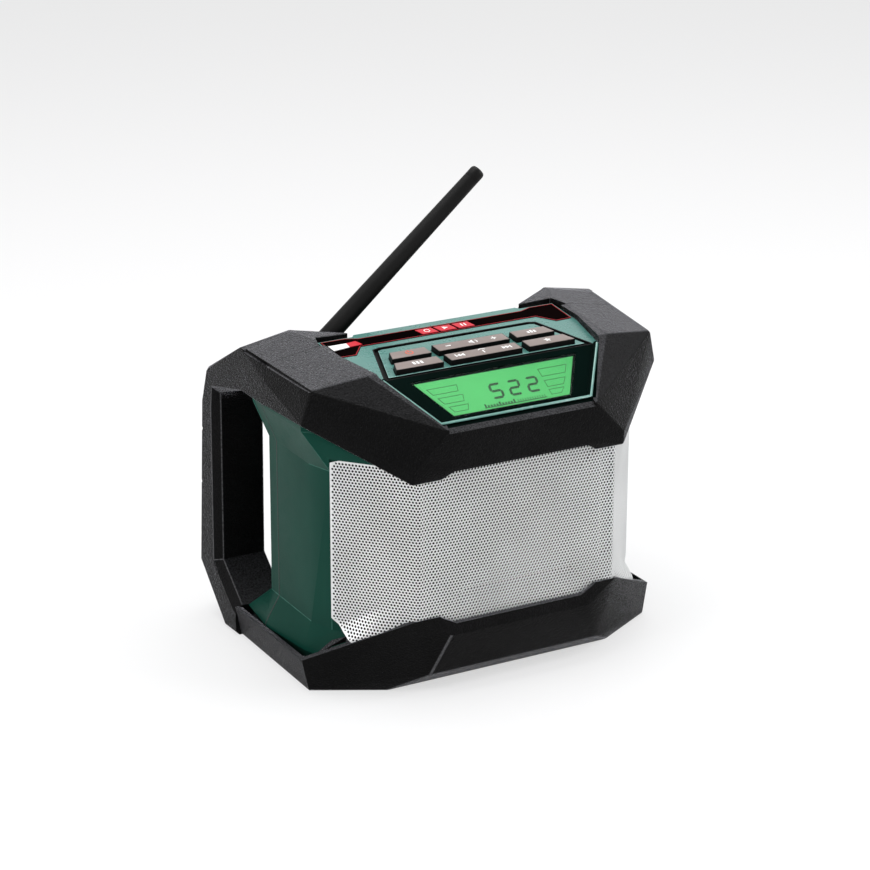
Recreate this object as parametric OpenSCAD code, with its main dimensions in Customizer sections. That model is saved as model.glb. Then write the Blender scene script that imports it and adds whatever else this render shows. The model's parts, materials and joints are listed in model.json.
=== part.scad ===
// Jobsite radio: a hard plastic housing in a rubber roll cage, with a wrapped perforated grille,
// a sloping control deck, a tilting whip antenna and a slide-on battery pack behind.
// Millimetres. X runs across the front, Y from front to back, Z up from the ground.

/* [Overall] */
// Width across the side bumpers
body_w = 252; // [244:1:272]
// Depth from the front bumper to the back of the grips
body_d = 200; // [196:1:216]
// Height of the rear top edge of the bumpers
body_h = 206; // [200:1:220]

/* [Housing] */
// Distance from the outside of the bumpers to the side columns
side_inset = 15; // [13:0.5:18]
// Wall of the moulded housing
wall = 3; // [2:0.1:3.5]
// Half width of the flat centre face, from crease to crease
crease_x = 69; // [64:1:74]
// Distance of the grille centre face behind the front bumper
grille_set_back = 5; // [4:0.5:7]
// Height of the foot of the side columns
skirt_top_z = 38; // [34:1:42]
// Height of the flare between a column and the top arm above it
flare_h = 30; // [26:1:34]

/* [Grips] */
// Front-to-back size of each rear grip bar
grip_t = 25.6; // [24:0.2:28]
// Width of each rear grip bar
grip_w = 34.8; // [33:0.2:36]
// Finger gap between a column and its grip bar
finger_gap = 44; // [42:0.5:46]
// Height of the top arms from their underside to the crest
arm_h = 34; // [31:1:37]
// Height of the top of the base bumper at the side corners
base_side_z = 21; // [18:1:24]
// Height of the base bumper where it meets the centre face
base_front_z = 48; // [44:1:52]

/* [Deck] */
// Tilt of the control deck
deck_tilt = 5; // [3:0.5:7]
// Tilt of the display face
display_tilt = 35; // [32:1:38]
// Drop of the edge between deck and display below the crest
deck_drop = 9; // [7:0.5:11]
// Distance of that edge behind the front bumper
deck_set_back = 39.5; // [38:0.5:42]
// Thickness of the deck plate
deck_t = 3; // [2.5:0.1:3.5]
// Height of the key caps above the deck
key_up = 3.2; // [2.4:0.1:4]
// Depth of a key from front to back
key_d = 10; // [8.5:0.5:11]
// Travel of a pressed key
key_travel = 0.8; // [0.5:0.1:1]
// Clearance round a key
key_gap = 0.35; // [0.25:0.05:0.6]
// Width of the display window at its top
lcd_top_w = 112; // [104:1:116]
// Width of the display window at its bottom
lcd_bottom_w = 81; // [74:1:86]
// Height of the display window along the slope
lcd_h = 27; // [24:1:28]

/* [Grille] */
// Thickness of the perforated sheet
grille_t = 1.2; // [0.8:0.1:1.6]
// Thickness of the dust cloth behind it
cloth_t = 0.6; // [0.4:0.1:1]
// Distance between neighbouring holes
hole_pitch = 7; // [6.5:0.5:10]
// Diameter of one hole
hole_d = 4.4; // [3:0.1:5]

/* [Speakers] */
// Outer diameter of a speaker frame
speaker_d = 64; // [58:1:66]
// Distance of each speaker axis from the middle
speaker_x = 34; // [33.5:0.5:36]

/* [Antenna] */
// Diameter of the whip at its foot
whip_d = 12.2; // [11:0.2:12.6]
// Diameter of the whip at its tip
whip_tip_d = 9.8; // [8:0.2:10.4]
// Length of the whip from its hinge pin
whip_len = 158; // [120:1:160]
// Tilt of the whip above the level at rest
whip_rise = 40.8; // [35:0.1:48]
// Radius of the hinge pin
antenna_pin_r = 2; // [1.5:0.1:2.5]
// Radial running clearance on the hinge pins
pin_play = 0.05; // [0.02:0.01:0.09]

/* [Battery] */
// Width of the battery pack
pack_w = 76; // [70:1:82]
// Height of the battery pack
pack_h = 106; // [104:1:112]
// Thickness of the battery case
pack_t = 30; // [27:1:34]
// Diameter of one cell
cell_d = 18.3; // [18:0.1:18.6]
// Length of one cell
cell_len = 65; // [64:0.5:65]

/* [Sockets] */
// Radius of the audio socket's bore
aux_r = 1.75; // [1.75:0.05:1.8]
// Radius of the power socket's bore
dc_r = 2.75; // [2.5:0.05:3]
// Depth of the audio socket's bore
aux_len = 14; // [12:1:15]
// Depth of the power socket's bore
dc_len = 9.5; // [8:0.5:11]

/* [Hidden] */
$fn = 48;
fit = 0.3;
tiny = 0.01;
half_w = body_w / 2;
front_y = -body_d / 2;
rear_y = body_d / 2;
col_x = half_w - side_inset;
face_y = front_y + grille_set_back;
bar_front_y = rear_y - grip_t - 4;
col_rear_y = bar_front_y - finger_gap;
flank_x = col_x - 4;
flank_y = face_y + 43;
floor_z = 6;
arm_under_z = body_h - arm_h;
flare_z = arm_under_z - flare_h;
skin = grille_t + cloth_t;
flank_len = norm([flank_x - crease_x, flank_y - face_y]);
flank_turn = atan2(flank_y - face_y, flank_x - crease_x);
skirt_low_z = 20;
shoulder_z = arm_under_z + 16;
flare_out = 9.5;
flare_high_z = arm_under_z - 5;
split_y = col_rear_y - 14.4;
seal_t = 0.8;
bar_in_x = half_w - grip_w;
block_x = bar_in_x - 5.2;
block_y = col_rear_y + 19.6;
shelf_z = arm_under_z + 6;
deck_front_y = front_y + deck_set_back;
deck_front_z = body_h - deck_drop;
deck_rear_y = split_y - 2;
deck_len = (deck_rear_y - deck_front_y) / cos(deck_tilt);
slope_len = 43.5;
deck_x = block_x - 2;
deck_side_front_x = deck_x - 7;
arm_part_y = split_y - 15;
deck_neck_y = arm_part_y - 20;
arm_end_y = split_y + 18;
ear_in_x = half_w - 33.3;
boss_r = 5;
screw_r = 1.5;
screw_head_r = 3;
screw_head_t = 2.6;
antenna_x = 10 - block_x;
antenna_y = block_y - 14;
antenna_z = shelf_z + 9;
fork_gap = 6;
fork_t = 3.6;
knuckle_r = 6;
speaker_z = 97;
dock_w = 66;
dock_z = 56;
dock_h = 98;
dock_t = 2.4;
rail_w = 4.5;
shoe_t = 2.8;
shoe_x = dock_w / 2 - rail_w - fit;
lip = 4;
rail_d = 8.4;
pack_y = block_y + rail_d + 0.6;
pack_z = dock_z;
port_x = block_x - 20;
port_z = 74;
port_w = 30;
port_h = 20;
port_d = 6;
flap_t = 2.4;
flap_pin_r = 1.2;
flap_knuckle_r = flap_pin_r + 1.2;
flap_y = block_y + fit + flap_knuckle_r;
flap_z = port_z - port_h / 2 - 3.5;
board_y = block_y - 24;
board_t = 1.6;
grille_low_z = base_front_z + 2;
grille_high_z = arm_under_z - 22;
flank_low_z = base_front_z + 2;
flank_high_z = flare_z + 6;

// ---------- plan outlines ----------

function unit(v) = v / norm(v);
function outward(v) = [v[1], -v[0]];
// Moves every edge of a counter-clockwise outline outwards by d
function grown(pts, d) = [
  for (i = [0 : len(pts) - 1])
    let (
      before = pts[(i + len(pts) - 1) % len(pts)],
      here = pts[i],
      after = pts[(i + 1) % len(pts)],
      n1 = outward(unit(here - before)),
      n2 = outward(unit(after - here))
    )
    here + d * (n1 + n2) / (1 + n1 * n2)
];
// Repeats a right-hand half outline, drawn from front to back, on the left
function mirrored(half) = concat(half, [for (i = [len(half) - 1 : -1 : 0]) [-half[i][0], half[i][1]]]);

// Line of the front from flank to flank, moved back by d square to each panel
function front_line(d) = [
  [-flank_x + d * sin(flank_turn), flank_y + d * cos(flank_turn)],
  [-crease_x + d * tan(flank_turn / 2), face_y + d],
  [crease_x - d * tan(flank_turn / 2), face_y + d],
  [flank_x - d * sin(flank_turn), flank_y + d * cos(flank_turn)]
];
function reversed(pts) = [for (i = [len(pts) - 1 : -1 : 0]) pts[i]];

// Housing: flat face, flanks swept back, rounded front of each column
housing_half = [
  front_line(skin)[2],
  front_line(skin)[3],
  [col_x, flank_y + 19],
  [col_x, col_rear_y - 4],
  [col_x - 3, col_rear_y]
];
housing_plan = mirrored(housing_half);
// Skirt: widest a little in front of the parting line
skirt_half = [
  [flank_x + 2, flank_y - 4],
  [col_x + 5.5, flank_y + 18],
  [col_x + 10.8, split_y - 3.5],
  [col_x + 5.9, block_y - 0.7],
  [block_x, block_y - 0.7]
];
foot_half = [
  [crease_x - 7, front_y + 30],
  [col_x, front_y + 60],
  [col_x, col_rear_y + 10]
];
shoulder_half = [
  [deck_x - 1, front_y + 55],
  [col_x - 3, front_y + 62],
  [col_x - 3, col_rear_y - 4],
  [deck_x - 1, col_rear_y - 4]
];
flare_half = [
  [crease_x - 12, front_y + 7],
  [flank_x - 6, flank_y - 1],
  [col_x + flare_out, flank_y + 10],
  [col_x + flare_out, col_rear_y]
];
deck_plan = mirrored([
  [deck_side_front_x - 24, deck_front_y - slope_len * cos(display_tilt)],
  [deck_side_front_x, deck_front_y],
  [deck_x, deck_neck_y],
  [deck_x, deck_rear_y]
]);

module prism(pts, z0, z1) {
  translate([0, 0, z0])
    linear_extrude(z1 - z0)
      polygon(pts);
}

module box(lo, hi) {
  translate(lo)
    cube(hi - lo);
}

module both_sides() {
  children();
  mirror([1, 0, 0])
    children();
}

// Local frame of the control deck: origin at its front edge, Y back along it, Z its normal
module on_deck() {
  translate([0, deck_front_y, deck_front_z])
    rotate([deck_tilt, 0, 0])
      children();
}

// Local frame of the display face: origin at its top edge, -Y down the slope
module on_slope() {
  translate([0, deck_front_y, deck_front_z])
    rotate([display_tilt, 0, 0])
      children();
}

// Everything above the ridge roof that deck and display make, lowered by d
module above_deck(d) {
  big = 3 * body_w;
  on_deck()
    translate([-big / 2, -big / 2, -d])
      cube(big);
  on_slope()
    translate([-big / 2, -big / 2, -d])
      cube(big);
}

// ---------- housing ----------

module housing_low(g) {
  hull() {
    prism(grown(housing_plan, g), skirt_top_z, skirt_top_z + tiny);
    prism(grown(mirrored(skirt_half), g), skirt_low_z, skirt_low_z + tiny);
    prism(grown(mirrored(foot_half), g), floor_z - g, floor_z + tiny);
  }
}

module housing_flare(g) {
  hull() {
    prism(grown(housing_plan, g), flare_z - tiny, flare_z);
    prism(grown(mirrored(flare_half), g), flare_high_z, flare_high_z + tiny);
  }
  prism(grown(mirrored(flare_half), g), flare_high_z, arm_under_z - fit + g);
}

module housing_shoulder(g) {
  prism(grown(mirrored(shoulder_half), g), arm_under_z - fit - tiny, shoulder_z + g);
}

// Slope under the grille, which the top of the base bumper lies on
module front_chamfer(g) {
  rotate([90, 0, 90])
    linear_extrude(2 * body_w, center = true)
      polygon([[front_y - 20, base_front_z + 1.5], [face_y + skin - g, base_front_z + 1.5],
        [front_y + 30 - g, floor_z - g - 1], [front_y - 20, floor_z - g - 1]]);
}

module housing_outer(g = 0) {
  difference() {
    union() {
      prism(grown(housing_plan, g), skirt_top_z, flare_z);
      housing_low(g);
    }
    front_chamfer(g);
  }
  housing_flare(g);
  housing_shoulder(g);
  prism(grown(deck_plan, g), arm_under_z - fit - tiny, body_h);
}

module housing_block() {
  box([-block_x, deck_rear_y - 1, floor_z], [block_x, block_y, shelf_z]);
}

module housing_all() {
  housing_outer();
  housing_block();
}

// Inside of the front shell and columns, and the well under the deck
module housing_hollow() {
  difference() {
    prism(grown(housing_plan, -wall), floor_z + wall, arm_under_z - wall);
    front_chamfer(-wall);
  }
  intersection() {
    prism(grown(deck_plan, -wall), arm_under_z - 2 * wall, body_h + 20);
    box([-body_w, front_y, 0], [body_w, deck_rear_y - wall, body_h + 20]);
  }
}

module block_hollow() {
  box([-block_x + wall, split_y - wall, floor_z + wall], [block_x - wall, block_y - wall, arm_under_z - wall]);
}

// Shallow seat that the wrapped sheet and its cloth lie in
module grille_seat() {
  prism(concat(front_line(-40), reversed(front_line(skin))), grille_low_z - fit, grille_high_z + fit);
}

// Round openings in the front wall, one before each speaker
module speaker_openings(r) {
  both_sides()
    translate([speaker_x, face_y - 5, speaker_z])
      rotate([-90, 0, 0])
        cylinder(r = r, h = 20, $fn = 64);
}

// Bosses stand in the corners, each one joined to the wall beside it
boss_in = wall + boss_r - 1;
inner_boss_x = block_x - 22;
screw_spots = [[col_x - boss_in, 22], [col_x - boss_in, flare_z + 14], [inner_boss_x, floor_z + boss_in],
  [inner_boss_x, arm_under_z - boss_in]];

module at_screws() {
  both_sides()
    for (s = screw_spots)
      translate([s[0], split_y, s[1]])
        rotate([-90, 0, 0])
          children();
}

module front_housing() {
  color([0.03, 0.20, 0.16])
    difference() {
      union() {
        difference() {
          intersection() {
            housing_all();
            box([-body_w, front_y, 0], [body_w, split_y - seal_t / 2, body_h]);
          }
          housing_hollow();
          block_hollow();
          above_deck(deck_t);
          grille_seat();
        }
        at_screws()
          translate([0, 0, -30])
            cylinder(r = boss_r, h = 30 - seal_t / 2);
      }
      speaker_openings(speaker_d / 2 - 4);
      at_screws()
        translate([0, 0, -24])
          cylinder(r = screw_r, h = 30);
    }
}

module rear_housing() {
  color([0.03, 0.20, 0.16])
    difference() {
      union() {
        difference() {
          intersection() {
            housing_all();
            box([-body_w, split_y + seal_t / 2, 0], [body_w, rear_y, body_h]);
          }
          housing_hollow();
          block_hollow();
        }
        intersection() {
          housing_block();
          at_screws()
            translate([0, 0, seal_t / 2])
              cylinder(r = boss_r, h = block_y);
        }
        at_screws()
          translate([0, 0, seal_t / 2])
            cylinder(r = boss_r, h = col_rear_y - split_y - seal_t / 2 - wall / 2);
        // walls round the recess of the sockets
        translate([port_x - port_w / 2 - wall, block_y - port_d - wall, port_z - port_h / 2 - wall])
          cube([port_w + 2 * wall, port_d + wall - tiny, port_h + 2 * wall]);
        // pillars behind the main board
        for (side = [-1, 1], z = [board_low_z + 8, board_high_z - 8])
          translate([side * (board_half_x - 10), board_y + board_t, z])
            rotate([-90, 0, 0])
              cylinder(r = 3, h = block_y - wall - board_y - board_t + tiny);
        // lugs that hold the pin of the flap
        for (side = [-1, 1])
          translate([port_x + side * (port_w / 2 + 3), 0, 0])
            box([-1.6, block_y - tiny, flap_z - flap_knuckle_r],
              [1.6, flap_y + flap_knuckle_r, flap_z + flap_knuckle_r]);
      }
      at_screws() {
        translate([0, 0, -1])
          cylinder(r = screw_r + 0.2, h = 80);
        translate([0, 0, 9])
          cylinder(r = screw_head_r + 0.4, h = 80);
      }
      at_grip_screws()
        cylinder(r = screw_r, h = 24);
      translate([port_x - port_w / 2, block_y - port_d, port_z - port_h / 2])
        cube([port_w, port_d + 1, port_h]);
      at_jacks()
        translate([0, 0, -wall - 1])
          cylinder(r = jack_r + 0.2, h = wall + 2);
      at_flap_pin()
        cylinder(r = flap_pin_r, h = port_w + 12, center = true);
    }
}

module housing_seal() {
  color([0.05, 0.05, 0.05])
    difference() {
      intersection() {
        housing_all();
        box([-body_w, split_y - seal_t / 2, 0], [body_w, split_y + seal_t / 2, body_h]);
      }
      housing_hollow();
      block_hollow();
      at_screws()
        cylinder(r = screw_r + 0.2, h = 10, center = true);
    }
}

module housing_screws() {
  color([0.55, 0.55, 0.57])
    at_screws() {
      translate([0, 0, -20])
        cylinder(r = screw_r - 0.05, h = 29);
      translate([0, 0, 9])
        cylinder(r = screw_head_r, h = screw_head_t);
    }
}

// ---------- rubber roll cage ----------

// The top arm and the front bumper behind it share these planes, so that they meet without a step:
// the sloping top of the ear, and its outer side, which leans in towards the front
ear_top_pitch = 3.67;
ear_top_roll = 9.42;
ear_side_lean = 11.8;
ear_side_turn = -4.5;
ear_rear = [half_w, arm_end_y - 1, body_h - 6];
ear_front = [half_w - 6, front_y + 45.5, body_h - 9.6];

module ear_cuts() {
  big = body_w;
  both_sides() {
    translate([ear_in_x, arm_end_y - 3, body_h])
      rotate([ear_top_pitch, ear_top_roll, 0])
        translate([-big / 2, -big, 0])
          cube([big, 2 * big, big]);
    translate(ear_rear)
      rotate([0, 0, ear_side_turn])
        rotate([0, -ear_side_lean, 0])
          translate([0, -big, -big / 2])
            cube([big, 2 * big, big]);
    // groove along the edge between the two planes
    translate(ear_rear + [0.3, 0, 0.3])
      rotate([0, acos((ear_front - ear_rear)[2] / norm(ear_front - ear_rear)),
        atan2((ear_front - ear_rear)[1], (ear_front - ear_rear)[0])])
        translate([0, 0, 4])
          cylinder(r = 1.7, h = norm(ear_front - ear_rear) - 4, $fn = 24);
  }
}

// Front bumper envelope, right half from the crest to the horn, taken through both sides
cage_pts = [
  [ear_in_x - 2.7, arm_part_y, body_h - 1.4],
  [half_w, arm_part_y, body_h - 5],
  [half_w, arm_part_y, arm_under_z],
  [ear_in_x - 7.2, front_y + 40.5, body_h - 4.4],
  [half_w - 6, front_y + 45.5, body_h - 9.4],
  [half_w - 1, front_y + 47.5, arm_under_z + 1.4],
  [crease_x + 6, front_y + 2.5, arm_under_z - 23],
  [crease_x + 6, front_y + 3, arm_under_z - 30],
  [crease_x - 15, front_y, arm_under_z + 3.2],
  [crease_x - 22, front_y + 1, arm_under_z - 25]
];

module blobs(pts, r) {
  hull()
    both_sides()
      for (p = pts)
        translate([p[0] - r, p[1] + (p[1] < arm_part_y - 1 ? r : 0), p[2] + (p[2] > arm_under_z + 2 ? -r : r)])
          sphere(r, $fn = 12);
}

module top_bumper() {
  color([0.06, 0.06, 0.06])
    difference() {
      intersection() {
        blobs(cage_pts, 2);
        box([-body_w, -body_d, 0], [body_w, arm_part_y - fit, 2 * body_h]);
      }
      ear_cuts();
      housing_outer(fit);
      grille_space(fit);
      prism(grown(deck_plan, fit), 0, 2 * body_h);
      // low rim in front of the display
      on_slope()
        box([-rim_half_x, -2 * slope_len, 2.2], [rim_half_x, 0, slope_len]);
      // notch over the centre of the grille
      translate([0, front_y - 1, 0])
        rotate([-90, 0, 0])
          linear_extrude(30)
            polygon([[-crease_x + 12, 0], [crease_x - 12, 0], [crease_x - 12, -arm_under_z + 31],
              [crease_x - 22, -arm_under_z + 25], [-crease_x + 22, -arm_under_z + 25],
              [-crease_x + 12, -arm_under_z + 31]]);
    }
}

base_front_pts = [
  [half_w - 4, front_y + 49.5, 0],
  [half_w, front_y + 50.5, base_side_z],
  [crease_x + 2, front_y + 4.5, base_front_z + 5],
  [crease_x - 15.5, front_y + 2.6, base_front_z + 6],
  [crease_x - 20, front_y, base_front_z - 7],
  [80, front_y + 27, 0],
  [crease_x - 9.5, front_y + 8, 13.3],
  [half_w, block_y, base_side_z - 1],
  [half_w - 4, block_y, 0]
];

// Deep groove between the housing's skirt and the thin lip of the base bumper
lip_t = 2.4;
groove_floor_z = base_side_z - 9;
ridge_from = base_front_pts[1];
ridge_to = base_front_pts[2];
ridge_run = norm([ridge_to[0] - ridge_from[0], ridge_to[1] - ridge_from[1]]);

module skirt_groove() {
  both_sides() {
    prism([[col_x - 6, flank_y + 6], [half_w - lip_t, ridge_from[1] + 3], [half_w - lip_t, block_y + 1],
      [col_x - 6, block_y + 1]], groove_floor_z, base_front_z);
    translate(ridge_from)
      rotate([0, 0, atan2(ridge_to[1] - ridge_from[1], ridge_to[0] - ridge_from[0])])
        rotate([0, -atan2(ridge_to[2] - ridge_from[2], ridge_run), 0])
          box([1, -lip_t - 6, -6], [ridge_run * 0.42, -lip_t - 0.6, 6]);
  }
}

notch_in_x = crease_x - 24.4;
notch_out_x = crease_x - 14;

module base_bumper() {
  color([0.06, 0.06, 0.06])
    difference() {
      hull()
        both_sides()
          for (p = base_front_pts)
            translate(p)
              cube(tiny, center = true);
      housing_outer(fit);
      grille_space(fit);
      both_sides()
        flank_foot(fit, 6);
      skirt_groove();
      // notch under the centre of the grille
      translate([0, front_y + 20, 0])
        rotate([90, 0, 0])
          linear_extrude(25)
            polygon([[-notch_in_x, base_front_z], [notch_in_x, base_front_z], [notch_out_x, base_front_z + 5.2],
              [notch_out_x, 2 * base_front_z], [-notch_out_x, 2 * base_front_z],
              [-notch_out_x, base_front_z + 5.2]]);
      box([-block_x - fit, split_y, floor_z - fit], [block_x + fit, rear_y, body_h]);
      at_grip_screws()
        cylinder(r = screw_r + 0.2, h = 24);
    }
}

// One cross-section of a grip bar: a bevelled slab from an inner to an outer point of the loop
module bar_slab(inner, outer) {
  t = norm(outer - inner);
  bevel = 5;
  translate([bar_in_x, inner[0], inner[1]])
    rotate([atan2(outer[1] - inner[1], outer[0] - inner[0]), 0, 0])
      linear_extrude(tiny)
        polygon([[0, bevel / 4], [bevel / 4, 0], [grip_w - bevel, 0], [grip_w, bevel],
          [grip_w, t - bevel / 2], [grip_w - bevel / 2, t], [bevel, t], [0, t - bevel]]);
}

// Inner and outer point of the loop's sections, as [y, z], from the top of the bar down to its foot
grip_stations = [
  [[bar_front_y + 1, arm_under_z - 15], [rear_y - 17.5, body_h - 34.5]],
  [[bar_front_y + 1, arm_under_z - 26], [rear_y - 8.5, body_h - 59]],
  [[bar_front_y + 3, skirt_top_z + 4], [rear_y, skirt_top_z - 4]],
  [[block_y, base_side_z - 1], [rear_y - 36, 0]],
  [[block_y, base_side_z - 1], [block_y, 0]]
];

// Top arm: sloping top, and the wedge behind the deck's corner
module arm_section(t) {
  rotate([90, 0, 0])
    linear_extrude(t)
      polygon([[half_w, arm_under_z], [half_w, body_h - 6], [ear_in_x, body_h],
        [block_x - 26, body_h - 1.5], [block_x - 26, body_h - 12], [bar_in_x, body_h - 16],
        [bar_in_x, arm_under_z]]);
}

module top_arm() {
  intersection() {
    translate([0, arm_end_y, 0])
      arm_section(arm_end_y - arm_part_y);
    prism([[half_w + 1, arm_part_y], [half_w + 1, rear_y], [ear_in_x, rear_y], [ear_in_x, arm_end_y + 0.5],
      [block_x - 25, deck_rear_y + 1], [deck_x + fit, deck_rear_y + fit], [deck_x + 4, arm_part_y]],
      arm_under_z, body_h + 1);
  }
}

module grip_bar() {
  difference() {
    union() {
      hull() {
        intersection() {
          translate([0, arm_end_y, 0])
            arm_section(tiny);
          box([bar_in_x, 0, 0], [body_w, rear_y, body_h]);
        }
        bar_slab(grip_stations[0][0], grip_stations[0][1]);
      }
      for (i = [0 : len(grip_stations) - 2])
        hull() {
          bar_slab(grip_stations[i][0], grip_stations[i][1]);
          bar_slab(grip_stations[i + 1][0], grip_stations[i + 1][1]);
        }
      top_arm();
    }
    ear_cuts();
    housing_outer(fit);
    housing_block();
    // finger notches across the back of the bar
    for (z = [52, 89, 126, 151])
      translate([bar_in_x - 1, rear_y - 1 - (z - 34) * 0.092, z])
        rotate([5 + 40, 0, 0])
          cube([grip_w + 2, 2.4, 2.4]);
    at_grip_screws() {
      cylinder(r = screw_r + 0.2, h = 24);
      translate([0, 0, -60])
        cylinder(r = screw_head_r + 0.4, h = 60);
    }
  }
}

// Screws driven forwards through each grip: one in its top arm, one in its foot
grip_screw_spots = [[block_x + 12, arm_end_y, arm_under_z + 8], [block_x + 19, block_y + 6, base_side_z - 9]];

module at_grip_screws() {
  both_sides()
    for (p = grip_screw_spots)
      translate(p)
        rotate([90, 0, 0])
          children();
}

module grip_screws() {
  color([0.55, 0.55, 0.57])
    at_grip_screws() {
      cylinder(r = screw_r - 0.05, h = 16);
      translate([0, 0, -screw_head_t])
        cylinder(r = screw_head_r, h = screw_head_t);
    }
}

module right_grip() {
  color([0.07, 0.07, 0.07])
    grip_bar();
}

module left_grip() {
  color([0.07, 0.07, 0.07])
    mirror([1, 0, 0])
      grip_bar();
}

// ---------- grille and speakers ----------

// Staggered holes over a rectangle, kept clear of its edge
module hole_field(w, h) {
  row = hole_pitch * sin(60);
  cols = floor((w - hole_d - 4) / hole_pitch);
  rows = floor((h - hole_d - 4) / row);
  for (j = [0 : rows], i = [0 : cols - (j % 2)])
    translate([(i - (cols - (j % 2)) / 2) * hole_pitch, (j - rows / 2) * row])
      circle(d = hole_d, $fn = 16);
}

module grille_panel(w, h, z0) {
  translate([0, 0, z0])
    rotate([90, 0, 0])
      linear_extrude(grille_t)
        difference() {
          square([w, h]);
          translate([w / 2, h / 2])
            hole_field(w, h);
        }
}

// Plain bent strip at each crease, between the perforated panels
bend = 3;
flank_dir = [cos(flank_turn), sin(flank_turn)];
bend_strip = [[crease_x - bend, face_y], [crease_x, face_y], [crease_x, face_y] + bend * flank_dir,
  front_line(grille_t)[2] + bend * flank_dir, front_line(grille_t)[2], [crease_x - bend, face_y + grille_t]];

module grille() {
  color([0.78, 0.79, 0.80]) {
    translate([-crease_x + bend - 1, face_y + grille_t, 0])
      grille_panel(2 * (crease_x - bend + 1), grille_high_z - grille_low_z, grille_low_z);
    both_sides() {
      prism(bend_strip, grille_low_z, grille_high_z);
      translate([crease_x, face_y, 0])
        rotate([0, 0, flank_turn])
          translate([bend - 1, grille_t, 0])
            grille_panel(flank_len - bend + 1, flank_high_z - flank_low_z, flank_low_z);
      flank_foot(0, grille_t);
    }
  }
}

// Foot of a flank, flared out over the edge of the base bumper: [distance from the crease, drop]
foot_pts = [[flank_len, 0], [bend, 0], [flank_len - 15, 13], [bend + 12, 5]];
foot_slope = 0.58;

module flank_foot(front, back) {
  hull()
    for (p = foot_pts)
      translate([crease_x, face_y, 0])
        rotate([0, 0, flank_turn])
          translate([p[0], -p[1] * foot_slope - front, flank_low_z - p[1]])
            cube([tiny, front + back, 0.5]);
}

// Room that the bent sheet and its cloth take up
module grille_space(g) {
  prism(concat(front_line(-g), reversed(front_line(skin + g))), grille_low_z - g, grille_high_z + g);
}

module grille_cloth() {
  color([0.02, 0.02, 0.02])
    prism(concat(front_line(grille_t), reversed(front_line(skin))), grille_low_z + 2, grille_high_z - 2);
}

module at_speakers() {
  both_sides()
    translate([speaker_x, 0, speaker_z])
      rotate([-90, 0, 0])
        children();
}

// Each speaker's parts are revolved about its axis, measured back from the housing wall
back_wall_y = face_y + skin + wall;

module speaker_gaskets() {
  color([0.04, 0.04, 0.04])
    at_speakers()
      translate([0, 0, back_wall_y])
        difference() {
          cylinder(d = speaker_d, h = 1);
          translate([0, 0, -1])
            cylinder(d = speaker_d - 7, h = 3);
        }
}

module speaker_frame() {
  translate([speaker_x, back_wall_y + 1, speaker_z])
    rotate([-90, 0, 0]) {
      rotate_extrude()
        polygon([[speaker_d / 2 - 4, 0], [speaker_d / 2, 0], [speaker_d / 2, 1.6], [speaker_d / 2 - 2.6, 1.6],
          [18, 17], [18, 18.6], [13.2, 18.6], [13.2, 17], [speaker_d / 2 - 5, 1.6]]);
    }
}

module speaker_cone() {
  translate([speaker_x, back_wall_y + 1, speaker_z])
    rotate([-90, 0, 0])
      rotate_extrude()
        polygon([[0, 9], [8, 9.6], [speaker_d / 2 - 8, 1], [speaker_d / 2 - 6.6, -0.6], [speaker_d / 2 - 3.6, -0.6],
          [speaker_d / 2 - 3.6, 0], [speaker_d / 2 - 6.2, 0.2], [speaker_d / 2 - 7.6, 1.8], [9, 11.2], [9, 15],
          [8, 15], [8, 10.8], [0, 10.2]]);
}

module speaker_magnet() {
  translate([speaker_x, back_wall_y + 1, speaker_z])
    rotate([-90, 0, 0])
      rotate_extrude()
        polygon([[0, 12.6], [6.8, 12.6], [6.8, 18.6], [20, 18.6], [22, 20.4], [22, 30], [20, 32], [0, 32]]);
}

module left_speaker_frame() {
  color([0.25, 0.25, 0.27])
    mirror([1, 0, 0])
      speaker_frame();
}

module left_speaker_cone() {
  color([0.08, 0.08, 0.08])
    mirror([1, 0, 0])
      speaker_cone();
}

module left_speaker_magnet() {
  color([0.45, 0.45, 0.47])
    mirror([1, 0, 0])
      speaker_magnet();
}

module right_speaker_frame() {
  color([0.25, 0.25, 0.27])
    speaker_frame();
}

module right_speaker_cone() {
  color([0.08, 0.08, 0.08])
    speaker_cone();
}

module right_speaker_magnet() {
  color([0.45, 0.45, 0.47])
    speaker_magnet();
}

// ---------- control deck ----------

// Key outlines in the deck's frame: inner and outer X at the front and back edge, and the row
row_v = [5, 20.5];
centre_key_x = 25;
side_key_x = 30;
outer_key_x = [[deck_side_front_x - 14, deck_side_front_x - 17.5],
  [deck_side_front_x - 19.5, deck_side_front_x - 22.5]];

function centre_key(row) = [[-centre_key_x, row_v[row]], [centre_key_x, row_v[row]],
  [centre_key_x, row_v[row] + key_d], [-centre_key_x, row_v[row] + key_d]];
function side_key(row) = [[side_key_x, row_v[row]], [outer_key_x[row][0], row_v[row]],
  [outer_key_x[row][1], row_v[row] + key_d], [side_key_x, row_v[row] + key_d]];

// Outline of the trench round the key field, in the deck's frame
key_field = mirrored([[deck_side_front_x - 4.5, 0.8], [deck_side_front_x - 19.5, row_v[1] + key_d + 14],
  [deck_side_front_x - 24, row_v[1] + key_d + 15.5]]);
trench_t = 2.6;
trench_d = 1.9;

module deck_shape() {
  on_deck()
    translate([0, 0, -deck_t])
      linear_extrude(deck_t)
        polygon(mirrored([[deck_side_front_x, 0], [deck_x, (deck_neck_y - deck_front_y) / cos(deck_tilt)],
          [deck_x, deck_len - 2.6], [60, deck_len - 2.6], [58, deck_len]]));
}

module key_openings(g) {
  for (row = [0, 1]) {
    polygon(grown(centre_key(row), g));
    both_corners()
      polygon(grown(side_key(row), g));
  }
}

module both_corners() {
  children();
  mirror([1, 0])
    children();
}

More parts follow.
